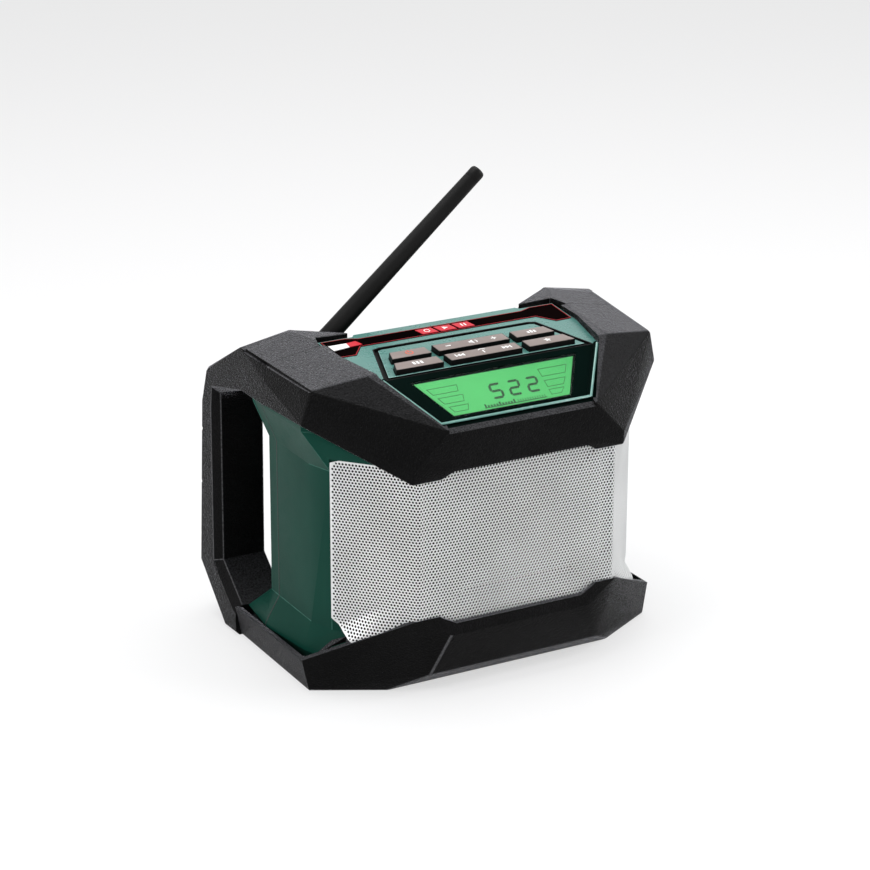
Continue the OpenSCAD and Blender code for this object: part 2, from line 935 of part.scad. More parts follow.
module top_plate() {
  color([0.10, 0.36, 0.31])
    difference() {
      union() {
        deck_shape();
        // pillars that carry the control board
        on_deck()
          both_sides()
            for (p = board_pillars)
              translate([p[0], p[1], mat_z - mat_t])
                cylinder(r = 1.6, h = -mat_z + mat_t - deck_t + tiny);
      }
      on_deck() {
        translate([0, 0, -deck_t - 1])
          linear_extrude(deck_t + 2)
            key_openings(key_gap);
        translate([0, 0, -trench_d])
          linear_extrude(trench_d + 1)
            difference() {
              polygon(key_field);
              polygon(grown(key_field, -trench_t));
            }
        translate([0, 0, -0.6])
          linear_extrude(3)
            polygon(grown(strip_plan, 0.2));
      }
    }
}

// Strip behind the keys: narrow in the middle, wide at both ends
strip_v = deck_len - 18.8;
strip_end_v = deck_len - 4;
strip_plan = [[-deck_x + 1.5, strip_v - 10.5], [-deck_x + 13, strip_v - 11], [-deck_x + 21.5, strip_v],
  [deck_x - 21.5, strip_v], [deck_x - 13, strip_v - 11], [deck_x - 1.5, strip_v - 10.5],
  [deck_x - 1, strip_end_v], [deck_x - 18, strip_end_v], [deck_x - 26, strip_v + 11.8],
  [-deck_x + 26, strip_v + 11.8], [-deck_x + 18, strip_end_v], [-deck_x + 1, strip_end_v]];

module accent_strip() {
  color([0.05, 0.02, 0.02])
    on_deck()
      translate([0, 0, -0.6])
        linear_extrude(0.9)
          difference() {
            polygon(strip_plan);
            tile_outlines(0.15);
          }
}

module tile_outlines(g) {
  for (x = [-13, 0, 13])
    translate([x, strip_v + 2.2])
      polygon(grown([[-4.7, 0], [6.5, 0], [4.7, 7.6], [-6.5, 7.6]], g));
}

module accent_tiles() {
  color([0.75, 0.03, 0.05])
    on_deck()
      translate([0, 0, -0.6])
        linear_extrude(1.1)
          tile_outlines(0);
}

slope_outline = mirrored([[deck_side_front_x - 25.5, -slope_len + 1.5], [deck_side_front_x - 22, -slope_len + 3.5],
  [deck_side_front_x - 1, 0]]);
rim_half_x = deck_side_front_x - 26;
rim_outline = mirrored([[rim_half_x + 0.8, -slope_len + 5.2], [deck_side_front_x - 2.2, 0],
  [deck_side_front_x + 1, 5]]);
window_top = -5.5;
window_outline = mirrored([[lcd_bottom_w / 2, window_top - lcd_h], [lcd_top_w / 2, window_top]]);

module display_bezel() {
  color([0.03, 0.10, 0.08])
    difference() {
      on_slope()
        difference() {
          union() {
            translate([0, 0, -deck_t])
              linear_extrude(deck_t)
                polygon(slope_outline);
            // raised rim round the foot and both sides
            translate([0, 0, -tiny])
              linear_extrude(1.4)
                difference() {
                  polygon(rim_outline);
                  polygon(grown(rim_outline, -1.8));
                }
          }
          translate([0, 0, -deck_t - 1])
            linear_extrude(deck_t + 4)
              polygon(window_outline);
          translate([0, 0, -1])
            linear_extrude(4)
              polygon(grown(window_outline, 1.5));
        }
      // mitre against the front edge of the deck plate
      on_deck()
        translate([-body_w, 0, -20])
          cube([2 * body_w, 50, 40]);
    }
}

module display_lens() {
  color([0.5, 0.8, 0.5, 0.4])
    on_slope()
      translate([0, 0, -1])
        linear_extrude(0.8)
          polygon(grown(window_outline, 1.5 - 0.1));
}

module lcd_panel() {
  color([0.25, 0.75, 0.35])
    on_slope()
      translate([0, 0, -deck_t])
        linear_extrude(1.8)
          polygon(grown(window_outline, -0.1));
}

module backlight() {
  color([0.9, 0.95, 0.9])
    on_slope()
      translate([0, 0, -deck_t - 3])
        linear_extrude(3)
          polygon(grown(window_outline, 2));
}

mat_t = 1.2;
mat_half_x = outer_key_x[0][0] + 1.6;
mat_rear_v = row_v[1] + key_d + 5;
flange_t = 1;
mat_z = -deck_t - fit - flange_t - key_travel - 0.1;
board_pillars = [[mat_half_x + 2, row_v[0] + 7], [mat_half_x - 6, mat_rear_v + 2]];

module keypad_mat() {
  color([0.12, 0.12, 0.12])
    on_deck()
      box([-mat_half_x, row_v[0] - 3, mat_z - mat_t], [mat_half_x, mat_rear_v, mat_z]);
}

module control_board() {
  color([0.04, 0.25, 0.10])
    on_deck()
      box([-mat_half_x - 4, row_v[0] + 3, mat_z - mat_t - board_t], [mat_half_x + 4, mat_rear_v + 4, mat_z - mat_t]);
}

// A cap, and the flange under the deck that holds it in
module key_cap(outline, flange) {
  on_deck() {
    translate([0, 0, -deck_t - fit - tiny])
      linear_extrude(deck_t + fit + tiny + key_up)
        polygon(outline);
    translate([0, 0, -deck_t - fit - flange_t])
      linear_extrude(flange_t)
        polygon(flange);
  }
}

module push_key(outline) {
  key_cap(outline, grown(outline, 1.6));
}

// A rocker's flange is short, so that either end can dip
module rocker(row) {
  key_cap(centre_key(row), [[-6, row_v[row] - 1.6], [6, row_v[row] - 1.6], [6, row_v[row] + key_d + 1.6],
    [-6, row_v[row] + key_d + 1.6]]);
}

function flip(outline) = [for (i = [len(outline) - 1 : -1 : 0]) [-outline[i][0], outline[i][1]]];

module power_key() {
  color([0.50, 0.45, 0.43])
    push_key(flip(side_key(1)));
}

module mode_key() {
  color([0.50, 0.45, 0.43])
    push_key(flip(side_key(0)));
}

module volume_rocker() {
  color([0.50, 0.45, 0.43])
    rocker(1);
}

module channel_rocker() {
  color([0.50, 0.45, 0.43])
    rocker(0);
}

module eq_key() {
  color([0.50, 0.45, 0.43])
    push_key(side_key(1));
}

module station_key() {
  color([0.50, 0.45, 0.43])
    push_key(side_key(0));
}

// ---------- boards ----------

board_half_x = block_x - 16;
board_low_z = floor_z + 20;
board_high_z = arm_under_z - 22;
sink_half_x = 24;
sink_h = 40;
sink_base_t = 4;
sink_d = 16;
fin_t = 2;
fin_pitch = 6;

module main_board() {
  color([0.04, 0.25, 0.10])
    box([-board_half_x, board_y, board_low_z], [board_half_x, board_y + board_t, board_high_z]);
}

module heat_sink() {
  high_z = board_high_z - 10;
  color([0.7, 0.7, 0.72]) {
    box([-sink_half_x, board_y - sink_base_t, high_z - sink_h], [sink_half_x, board_y, high_z]);
    for (x = [-sink_half_x + fin_t : fin_pitch : sink_half_x - fin_t])
      box([x, board_y - sink_d, high_z - sink_h], [x + fin_t, board_y - sink_base_t + tiny, high_z]);
  }
}

// ---------- antenna ----------

module at_antenna() {
  translate([antenna_x, antenna_y, antenna_z])
    children();
}

module along_y(r, y0, y1) {
  translate([0, y0, 0])
    rotate([-90, 0, 0])
      cylinder(r = r, h = y1 - y0);
}

module antenna_bracket() {
  ear_r = knuckle_r + 0.4;
  color([0.07, 0.07, 0.07])
    at_antenna()
      difference() {
        union() {
          for (side = [-1, 1])
            translate([0, side * (fork_gap / 2 + fit / 2 + fork_t / 2), 0]) {
              along_y(ear_r, -fork_t / 2, fork_t / 2);
              box([-ear_r, -fork_t / 2, shelf_z - antenna_z], [ear_r, fork_t / 2, 0]);
            }
          box([-ear_r - 1, -fork_gap / 2 - fit - fork_t, shelf_z - antenna_z],
            [ear_r, fork_gap / 2 + fit + fork_t, shelf_z - antenna_z + 2]);
        }
        along_y(antenna_pin_r, -20, 20);
      }
}

module antenna_pin() {
  color([0.7, 0.7, 0.72])
    at_antenna()
      along_y(antenna_pin_r, -fork_gap / 2 - fork_t - fit / 2, fork_gap / 2 + fork_t + fit / 2);
}

module on_whip() {
  at_antenna()
    rotate([0, 90 - whip_rise, 0])
      children();
}

module antenna_knuckle() {
  color([0.07, 0.07, 0.07])
    on_whip()
      difference() {
        union() {
          along_y(knuckle_r, -fork_gap / 2 + fit / 2, fork_gap / 2 - fit / 2);
          box([-knuckle_r + 1, -fork_gap / 2 + fit / 2, 0], [knuckle_r - 1, fork_gap / 2 - fit / 2, 8.5]);
          translate([0, 0, 8])
            cylinder(d = whip_d - 2, h = 6);
        }
        along_y(antenna_pin_r + pin_play, -20, 20);
      }
}

module antenna_whip() {
  color([0.06, 0.06, 0.06])
    on_whip()
      difference() {
        rotate_extrude()
          polygon([[0, 9], [whip_d / 2 - 1, 9], [whip_d / 2, 10.5], [whip_tip_d / 2, whip_len - 8],
            [0, whip_len - 8]]);
        translate([0, 0, 7])
          cylinder(d = whip_d - 2, h = 7);
      }
}

module antenna_tip() {
  color([0.05, 0.05, 0.05])
    on_whip()
      rotate_extrude()
        polygon([[0, whip_len - 8], [whip_tip_d / 2, whip_len - 8], [whip_tip_d / 2, whip_len - 1.5],
          [whip_tip_d / 2 - 1.2, whip_len], [0, whip_len]]);
}

// ---------- battery ----------

module battery_dock() {
  color([0.06, 0.06, 0.06])
    difference() {
      union() {
        box([-dock_w / 2, block_y, dock_z], [dock_w / 2, block_y + dock_t, dock_z + dock_h]);
        both_sides() {
          box([dock_w / 2 - rail_w, block_y, dock_z], [dock_w / 2, block_y + rail_d, dock_z + dock_h]);
          box([dock_w / 2 - rail_w - lip, block_y + rail_d - 2.6, dock_z],
            [dock_w / 2, block_y + rail_d, dock_z + dock_h]);
        }
        box([-dock_w / 2, block_y, dock_z - 4], [dock_w / 2, block_y + rail_d, dock_z]);
      }
      box([-20, block_y - 1, dock_z + 20], [20, block_y + dock_t + 1, dock_z + 34]);
    }
}

module dock_terminals() {
  color([0.8, 0.7, 0.4])
    for (x = [-15, -5, 5, 15])
      box([x - 0.6, block_y, dock_z + 20], [x + 0.6, block_y + 5, dock_z + 34]);
}

shoe_y = block_y + dock_t + fit;

module battery_lid() {
  color([0.07, 0.07, 0.07])
    difference() {
      union() {
        box([-shoe_x, shoe_y, dock_z + fit], [shoe_x, shoe_y + shoe_t, dock_z + dock_h - 2]);
        box([-shoe_x + lip + 0.3, shoe_y, dock_z + fit], [shoe_x - lip - 0.3, pack_y, dock_z + dock_h - 2]);
        box([-pack_w / 2, pack_y, pack_z + fit], [pack_w / 2, pack_y + 4, pack_z + pack_h]);
      }
      for (x = [-15, -5, 5, 15])
        box([x - 1.1, shoe_y - 1, dock_z - 1], [x + 1.1, shoe_y + 4.4, dock_z + 36]);
    }
}

module battery_case() {
  color([0.05, 0.22, 0.17])
    difference() {
      translate([0, 0, pack_z + fit])
        linear_extrude(pack_h - fit)
          polygon([[-pack_w / 2, pack_y + 4], [pack_w / 2, pack_y + 4], [pack_w / 2, pack_y + pack_t - 5],
            [pack_w / 2 - 5, pack_y + pack_t], [-pack_w / 2 + 5, pack_y + pack_t],
            [-pack_w / 2, pack_y + pack_t - 5]]);
      box([-pack_w / 2 + 2.5, pack_y + 3, pack_z + 3], [pack_w / 2 - 2.5, pack_y + pack_t - 3, pack_z + pack_h - 3]);
      latch_pocket(fit);
    }
}

module battery_cells() {
  color([0.2, 0.35, 0.6])
    for (i = [0 : 4])
      translate([-cell_len / 2, pack_y + pack_t - 3.4 - cell_d / 2, pack_z + 4 + cell_d / 2 + i * (cell_d + 0.7)])
        rotate([0, 90, 0])
          cylinder(d = cell_d, h = cell_len);
}

module battery_board() {
  color([0.04, 0.25, 0.10])
    box([8 - pack_w / 2, pack_y + 4, pack_z + 6], [pack_w / 2 - 8, pack_y + 5.4, pack_z + pack_h - 10]);
}

// Blind pocket in the back of the case, and the button that is pressed 1 mm into it
latch_half_x = 11;

module latch_pocket(g) {
  box([-latch_half_x - g, pack_y + pack_t - 2.2, pack_z + pack_h - 20 - g],
    [latch_half_x + g, pack_y + pack_t + 3, pack_z + pack_h - 10 + g]);
}

module battery_latch() {
  color([0.6, 0.03, 0.04])
    box([-latch_half_x, pack_y + pack_t - 0.9, pack_z + pack_h - 20],
      [latch_half_x, pack_y + pack_t + 1.2, pack_z + pack_h - 10]);
}

// ---------- sockets ----------

module at_jacks() {
  for (x = [-6.5, 7])
    translate([port_x + x, block_y - port_d, port_z])
      rotate([-90, 0, 0])
        children();
}

jack_r = 4;
jack_rim_t = 1;

// A barrel through the wall of the recess, with a rim on the outside; the bore's depth is from the rim
module jack(x, r, depth) {
  translate([port_x + x, block_y - port_d, port_z])
    rotate([-90, 0, 0])
      difference() {
        union() {
          translate([0, 0, jack_rim_t - depth - 1.5])
            cylinder(r = jack_r, h = depth + 1.5);
          cylinder(r = jack_r + 1, h = jack_rim_t);
        }
        translate([0, 0, jack_rim_t - depth])
          cylinder(r = r, h = depth + 1);
      }
}

module aux_jack() {
  color([0.1, 0.1, 0.1])
    jack(-6.5, aux_r, aux_len);
}

module dc_jack() {
  color([0.1, 0.1, 0.1])
    jack(7, dc_r, dc_len);
}

module at_flap_pin() {
  translate([port_x, flap_y, flap_z])
    rotate([0, 90, 0])
      children();
}

module port_pin() {
  color([0.6, 0.6, 0.62])
    at_flap_pin()
      cylinder(r = flap_pin_r, h = port_w + 2 * 4.6, center = true);
}

module port_flap() {
  color([0.06, 0.06, 0.06])
    difference() {
      union() {
        box([port_x - port_w / 2 - 1, block_y + fit, flap_z],
          [port_x + port_w / 2 + 1, block_y + fit + flap_t, port_z + port_h / 2 + 2.5]);
        at_flap_pin()
          cylinder(r = flap_knuckle_r, h = port_w + 2, center = true);
      }
      at_flap_pin()
        cylinder(r = flap_pin_r + pin_play, h = 2 * port_w, center = true);
    }
}

front_housing();
rear_housing();
housing_seal();
top_plate();
display_bezel();
display_lens();
lcd_panel();
backlight();
keypad_mat();
control_board();
accent_strip();
accent_tiles();
top_bumper();
base_bumper();
left_grip();
right_grip();
grille();
grille_cloth();
speaker_gaskets();
left_speaker_frame();
left_speaker_cone();
left_speaker_magnet();
right_speaker_frame();
right_speaker_cone();
right_speaker_magnet();
main_board();
heat_sink();
antenna_bracket();
antenna_pin();
antenna_knuckle();
antenna_whip();
antenna_tip();
battery_dock();
dock_terminals();
battery_case();
battery_lid();
battery_cells();
battery_board();
battery_latch();
aux_jack();
dc_jack();
port_flap();
port_pin();
housing_screws();
grip_screws();
power_key();
mode_key();
volume_rocker();
channel_rocker();
eq_key();
station_key();
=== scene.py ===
import json
from math import atan2, cos, hypot, pi, radians, sin, tan

import bmesh
import bpy
import numpy as np
from mathutils import Matrix, Vector

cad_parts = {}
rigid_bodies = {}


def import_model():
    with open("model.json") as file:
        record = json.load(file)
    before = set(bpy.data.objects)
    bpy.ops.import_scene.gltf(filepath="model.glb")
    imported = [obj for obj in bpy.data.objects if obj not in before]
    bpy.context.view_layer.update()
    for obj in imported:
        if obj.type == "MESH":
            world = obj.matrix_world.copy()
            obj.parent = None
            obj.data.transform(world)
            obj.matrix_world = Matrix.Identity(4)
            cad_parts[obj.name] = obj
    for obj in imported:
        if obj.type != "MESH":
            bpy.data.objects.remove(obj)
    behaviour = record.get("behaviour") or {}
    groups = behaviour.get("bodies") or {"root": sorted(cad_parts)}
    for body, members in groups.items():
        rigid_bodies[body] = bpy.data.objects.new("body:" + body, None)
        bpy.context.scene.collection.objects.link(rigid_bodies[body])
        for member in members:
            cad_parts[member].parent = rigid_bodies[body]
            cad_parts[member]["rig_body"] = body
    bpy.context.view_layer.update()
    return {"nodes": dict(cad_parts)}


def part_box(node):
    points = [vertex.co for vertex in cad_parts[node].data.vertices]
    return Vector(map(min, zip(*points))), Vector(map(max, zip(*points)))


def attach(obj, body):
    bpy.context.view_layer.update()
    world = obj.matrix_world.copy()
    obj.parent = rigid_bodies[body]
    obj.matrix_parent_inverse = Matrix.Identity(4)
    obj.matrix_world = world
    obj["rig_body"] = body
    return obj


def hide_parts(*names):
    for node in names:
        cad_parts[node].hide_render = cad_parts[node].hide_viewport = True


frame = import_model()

scene = bpy.context.scene

# ---- Camera ----
# It stands to the left of the front and a little above the radio, with a long lens, so that the
# upright edges stay nearly parallel.

MM = 0.001
camera_yaw = radians(29.0)
camera_pitch = radians(20.36)
camera_roll = radians(0.12)
camera_spot = Vector((-814.92, -1460.29, 750.60)) * MM
focal_in_pixels = 2812.18
picture_width = 870
sensor_width = 36

camera_data = bpy.data.cameras.new("camera")
camera_data.sensor_width = sensor_width
camera_data.lens = focal_in_pixels / picture_width * sensor_width
camera = bpy.data.objects.new("camera", camera_data)
scene.collection.objects.link(camera)
scene.camera = camera
backwards = Vector((-sin(camera_yaw) * cos(camera_pitch), -cos(camera_yaw) * cos(camera_pitch),
                    sin(camera_pitch)))
rightwards = Vector((cos(camera_yaw), -sin(camera_yaw), 0))
upwards = backwards.cross(rightwards)
camera.matrix_world = (
    Matrix.Translation(camera_spot)
    @ Matrix((rightwards, upwards, backwards)).transposed().to_4x4()
    @ Matrix.Rotation(camera_roll, 4, "Z")
)

# ---- Studio ----
# A pale floor that runs out to a white surround, with large soft lamps above and on both sides.
# The surround is darker on the camera's side, as in a room where only the set is lit.


class Shade:
    """One socket of a node tree. Operators on it add Math nodes, and make() adds any other node."""

    def __init__(self, tree, socket=None):
        self.tree, self.socket = tree, socket

    def make(self, kind, out=0, settings=None, **values):
        """Adds a node, sets its settings, then its sockets (by name, or i0, i1 ... by number)."""
        node = self.tree.nodes.new("ShaderNode" + kind)
        for key, value in (settings or {}).items():
            setattr(node, key, value)
        for key, value in values.items():
            target = node.inputs[int(key[1:]) if key[1:].isdigit() else key.replace("_", " ")]
            if isinstance(value, Shade):
                self.tree.links.new(value.socket, target)
            else:
                target.default_value = value
        return Shade(self.tree, node.outputs[out])

    def math(self, operation, first, second=0.0):
        return self.make("Math", settings={"operation": operation}, i0=first, i1=second)

    def __add__(self, other):
        return self.math("ADD", self, other)

    def __sub__(self, other):
        return self.math("SUBTRACT", self, other)

    def __rsub__(self, other):
        return self.math("SUBTRACT", other, self)

    def __mul__(self, other):
        return self.math("MULTIPLY", self, other)

    def between(self, low, high):
        """0 below low, 1 above high, and a smooth step between."""
        return self.make("MapRange", settings={"interpolation_type": "SMOOTHSTEP"},
                         Value=self, From_Min=low, From_Max=high)

    def blend(self, start, end):
        """The colour start where this is 0, and end where it is 1."""
        return self.make("Mix", out=2, settings={"data_type": "RGBA"}, i0=self, i6=start, i7=end)

    __radd__ = __add__
    __rmul__ = __mul__


scene.view_settings.view_transform = "Standard"
surround_light = 0.50
surround_front = (0.16, 0.16, 0.17, 1)
surround_back = (1.0, 1.0, 1.0, 1)
floor_colour = (0.86, 0.86, 0.87, 1)
floor_glow_share = 0.62


def backdrop_rays(shade):
    """1 for the rays that see the backdrop itself: the camera's, and those in gloss and glass."""
    path = shade.make("LightPath", out="Is Camera Ray")
    glossy = Shade(shade.tree, path.socket.node.outputs["Is Glossy Ray"])
    through = Shade(shade.tree, path.socket.node.outputs["Is Transmission Ray"])
    return path.math("MAXIMUM", path, glossy.math("MAXIMUM", glossy, through))


world = bpy.data.worlds.new("studio")
scene.world = world
world.use_nodes = True
world.node_tree.nodes.clear()
sky = Shade(world.node_tree)
split = sky.make("SeparateXYZ", out="Y", Vector=sky.make("TexCoord", out="Generated"))
height = Shade(sky.tree, split.socket.node.outputs["Z"])
surround = (split + height * 0.9).between(-0.75, 0.35).blend(surround_front, surround_back)
unlit = sky.make("Background", Color=surround, Strength=surround_light)
white = sky.make("Background", Color=(1, 1, 1, 1), Strength=1.0)
seen = sky.make("MixShader", i0=backdrop_rays(sky), i1=unlit, i2=white)
world_out = world.node_tree.nodes.new("ShaderNodeOutputWorld")
world.node_tree.links.new(seen.socket, world_out.inputs["Surface"])


def lamp(name, spot, aim, size, power):
    """A square softbox at spot, in metres, that faces aim."""
    data = bpy.data.lights.new(name, "AREA")
    data.shape = "SQUARE"
    data.size, data.energy = size, power
    made = bpy.data.objects.new(name, data)
    made.location = spot
    made.rotation_euler = (Vector(aim) - Vector(spot)).to_track_quat("-Z", "Y").to_euler()
    scene.collection.objects.link(made)


middle = (0, 0, 0.11)
lamp("lamp_top", (0.0, 0.25, 1.5), middle, 1.1, 16)
lamp("lamp_right", (1.25, -0.75, 0.85), middle, 0.8, 15)
lamp("lamp_left", (-1.45, -0.15, 0.75), middle, 0.9, 11)

floor_reach = 9.0
floor_mesh = bpy.data.meshes.new("floor")
floor_mesh.from_pydata(
    [(-floor_reach, -floor_reach, 0), (floor_reach, -floor_reach, 0),
     (floor_reach, floor_reach, 0), (-floor_reach, floor_reach, 0)], [], [(0, 1, 2, 3)])
floor = bpy.data.objects.new("floor", floor_mesh)
scene.collection.objects.link(floor)
floor_paint = bpy.data.materials.new("floor_paint")
floor_paint.use_nodes = True
floor_paint.node_tree.nodes.clear()
ground = Shade(floor_paint.node_tree)
matt = ground.make("BsdfDiffuse", Color=floor_colour)
glow = ground.make("Emission", Color=(1, 1, 1, 1), Strength=1.0)
share = backdrop_rays(ground) * floor_glow_share
floor_out = floor_paint.node_tree.nodes.new("ShaderNodeOutputMaterial")
floor_paint.node_tree.links.new(ground.make("MixShader", i0=share, i1=matt, i2=glow).socket,
                                floor_out.inputs["Surface"])
floor_mesh.materials.append(floor_paint)

# ---- Housing ----
# Two green shells, moulded in glass-filled plastic with a fine spark-eroded grain, parted behind
# the side columns and drawn together on a thin seal by eight screws.


def begin(name):
    """A new material: the material, a Shade to build from and its Principled shader."""
    made = bpy.data.materials.new(name)
    made.use_nodes = True
    return made, Shade(made.node_tree), made.node_tree.nodes["Principled BSDF"]


def feed(shader, **values):
    """Sets a shader's sockets, by a constant or by a Shade."""
    for key, value in values.items():
        target = shader.inputs[key.replace("_", " ")]
        if isinstance(value, Shade):
            value.tree.links.new(value.socket, target)
        else:
            target.default_value = value


patch_scale, scuff_scale = 14.0, 126.0
rough_spread = 0.08


def grainy(name, low, high, rough, grain, depth, coat=0.0, shine=0.5, edge=None):
    """Moulded plastic: colour drifts between low and high, grain (per metre) roughens it, and its
    rounded edges are lightened to the colour edge: partly rubbed wear, partly a painted edge highlight."""
    made, shade, shader = begin(name)
    place = shade.make("TexCoord", out="Object")
    drift = shade.make("TexNoise", Vector=place, Scale=patch_scale, Detail=3.0)
    fine = shade.make("TexNoise", Vector=place, Scale=grain, Detail=2.0, Roughness=0.6)
    scuffs = shade.make("TexNoise", Vector=place, Scale=scuff_scale, Detail=6.0, Roughness=0.7)
    colour = drift.between(0.3, 0.7).blend(low, high)
    if edge:
        rubbed_and_lit = shade.make("Attribute", out="Fac", settings={"attribute_name": "worn_and_lit"})
        colour = (rubbed_and_lit * scuffs.between(0.2, 0.6)).blend(colour, edge)
    feed(shader, Base_Color=colour,
         Roughness=scuffs.between(0.35, 0.75) * rough_spread + rough,
         Normal=shade.make("Bump", Height=fine, Distance=depth * MM, Strength=1.0),
         Coat_Weight=coat, Coat_Roughness=0.08, Specular_IOR_Level=shine)
    return made


def dress(node, material):
    """Gives a CAD node the material."""
    obj = frame["nodes"][node]
    obj.data.materials.clear()
    obj.data.materials.append(material)
    return obj


weld_distance = 0.01 * MM
flat_within = radians(0.6)
rounding_steps = 3
crowding = 2.4
# How far a face must look up before it is lightened as if lit from above: a painted top light.
top_light_from, top_light_span = 0.72, 0.2


def rounded(node, material, width, least=5.0, turn=24.0, reshape=None, fillets=True):
    """A merged copy of a CAD node whose long sharp edges are rounded to width, in millimetres, with
    its inner corners too where it has fillets. The middle of each rounding is marked for rubbed wear
    and a painted edge highlight, and each face for a painted top light by how far it looks up. It
    rides on the node's body and stands for it."""
    source = frame["nodes"][node]
    form = bmesh.new()
    form.from_mesh(source.data)
    bmesh.ops.remove_doubles(form, verts=form.verts, dist=weld_distance)
    bmesh.ops.dissolve_degenerate(form, dist=weld_distance, edges=form.edges)
    bmesh.ops.dissolve_limit(form, angle_limit=flat_within, verts=form.verts, edges=form.edges)
    if reshape:
        reshape(form)
    form.edges.ensure_lookup_table()
    worn_and_lit = form.verts.layers.float.new("worn_and_lit")

    def sharp(edge):
        return (len(edge.link_faces) == 2 and edge.calc_face_angle(0) > radians(turn)
                and (fillets or edge.is_convex))

    short = crowding * width * MM
    crowded = {v for e in form.edges if e.calc_length() < short for v in e.verts}
    chosen = [e for e in form.edges
              if sharp(e) and e.calc_length() > least * MM
              and not (e.verts[0] in crowded or e.verts[1] in crowded)]
    if chosen:
        bevel = bmesh.ops.bevel(form, geom=chosen, offset=width * MM, offset_type="OFFSET",
                                segments=rounding_steps, profile=0.5, affect="EDGES", clamp_overlap=True)
        rounding = set(bevel["faces"])
        for v in bevel["verts"]:
            v[worn_and_lit] = float(all(f in rounding for f in v.link_faces))
    form.normal_update()
    lit_from_above = form.faces.layers.float.new("lit_from_above")
    for f in form.faces:
        f[lit_from_above] = min(max((f.normal.z - top_light_from) / top_light_span, 0.0), 1.0)
    mesh = bpy.data.meshes.new(node + "_form")
    form.to_mesh(mesh)
    form.free()
    mesh.shade_smooth()
    mesh.set_sharp_from_angle(angle=radians(32))
    mesh.materials.append(material)
    made = bpy.data.objects.new(node + "_form", mesh)
    scene.collection.objects.link(made)
    weigh = made.modifiers.new("even_shading", "WEIGHTED_NORMAL")
    weigh.keep_sharp = True
    weigh.weight = 80
    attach(made, source["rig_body"])
    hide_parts(node)
    return made


green_dark = (0.003, 0.036, 0.025, 1)
green_light = (0.005, 0.046, 0.032, 1)
# The middle of each rounding is lightened to this edge colour: partly rubbed wear, partly a painted edge
# highlight.
green_edge = (0.045, 0.140, 0.110, 1)
green_plastic = grainy("green_plastic", green_dark, green_light, 0.30, 1900.0, 0.03,
                       shine=0.05, edge=green_edge)
for shell in ("front_housing", "rear_housing"):
    rounded(shell, green_plastic, 0.9, least=9.0)

seal_rubber = grainy("seal_rubber", (0.012, 0.012, 0.012, 1), (0.02, 0.02, 0.02, 1), 0.6, 2600.0, 0.03)
dress("housing_seal", seal_rubber)

# ---- Rubber roll cage ----
# Two front bumpers and two rear hoops of thick black rubber, moulded with a coarse pebble on every
# face, wrap the housing and are screwed to it through the hoops.

rubber, shade, shader = begin("pebbled_rubber")
place = shade.make("TexCoord", out="Object")
pebble_scale = 1050.0
pebbles = shade.make("TexVoronoi", out="Distance", settings={"feature": "SMOOTH_F1"},
                     Vector=place, Scale=pebble_scale, Smoothness=0.35)
crumbs = shade.make("TexNoise", Vector=place, Scale=pebble_scale * 0.8, Detail=3.0, Roughness=0.65)
wear = shade.make("TexNoise", Vector=place, Scale=26.0, Detail=4.0)
speckle = shade.make("TexNoise", Vector=place, Scale=900.0, Detail=5.0, Roughness=0.75)
rubbed_and_lit = shade.make("Attribute", out="Fac", settings={"attribute_name": "worn_and_lit"})
painted_top_light = shade.make("Attribute", out="Fac", settings={"attribute_name": "lit_from_above"})
black = (wear * 0.3 + speckle * 0.7).between(0.42, 0.66).blend((0.0006, 0.0006, 0.0007, 1),
                                                           (0.0055, 0.0055, 0.0058, 1))
# Faces that look up are lightened towards a speckled grey: a painted top light.
black_lit_above = (painted_top_light * speckle.between(0.30, 0.62)).blend(black, (0.085, 0.085, 0.092, 1))
# The middle of each rounding is lightened to grey: partly rubbed wear, partly a painted edge highlight.
feed(shader, Base_Color=(rubbed_and_lit * speckle.between(0.25, 0.6)).blend(black_lit_above, (0.10, 0.10, 0.105, 1)),
     Roughness=crumbs.between(0.3, 0.7) * 0.14 + 0.36, Specular_IOR_Level=0.06,
     Sheen_Weight=0.7, Sheen_Roughness=0.14, Sheen_Tint=(0.92, 0.92, 1.0, 1),
     Normal=shade.make("Bump", Height=crumbs * 0.7 - pebbles * 0.8, Distance=0.6 * MM, Strength=0.75))


ledge_x, ledge_y, ledge_z = (109, 118), (-54, -45), (25, 33)
groove_floor, groove_slope, groove_corner_x = 20.5, 0.7, 111.5


def lower_ledge(form):
    """Lowers the ledge between each skirt and the bumper's lip to the floor of their groove."""
    for v in form.verts:
        x, y, z = abs(v.co.x) / MM, v.co.y / MM, v.co.z / MM
        if ledge_x[0] < x < ledge_x[1] and ledge_y[0] < y < ledge_y[1] and ledge_z[0] < z < ledge_z[1]:
            v.co.z = (groove_floor + groove_slope * max(0, groove_corner_x - x)) * MM


for part, width in (("top_bumper", 1.4), ("base_bumper", 1.6), ("left_grip", 1.8), ("right_grip", 1.8)):
    rounded(part, rubber, width, least=6.0, turn=16.0,
            reshape=lower_ledge if part == "base_bumper" else None)

# ---- Wrapped grille ----
# One sheet of silver-painted steel, punched all over with staggered round holes, is folded round
# both front corners, and its foot is flared out behind the base bumper. Black cloth keeps dust out.

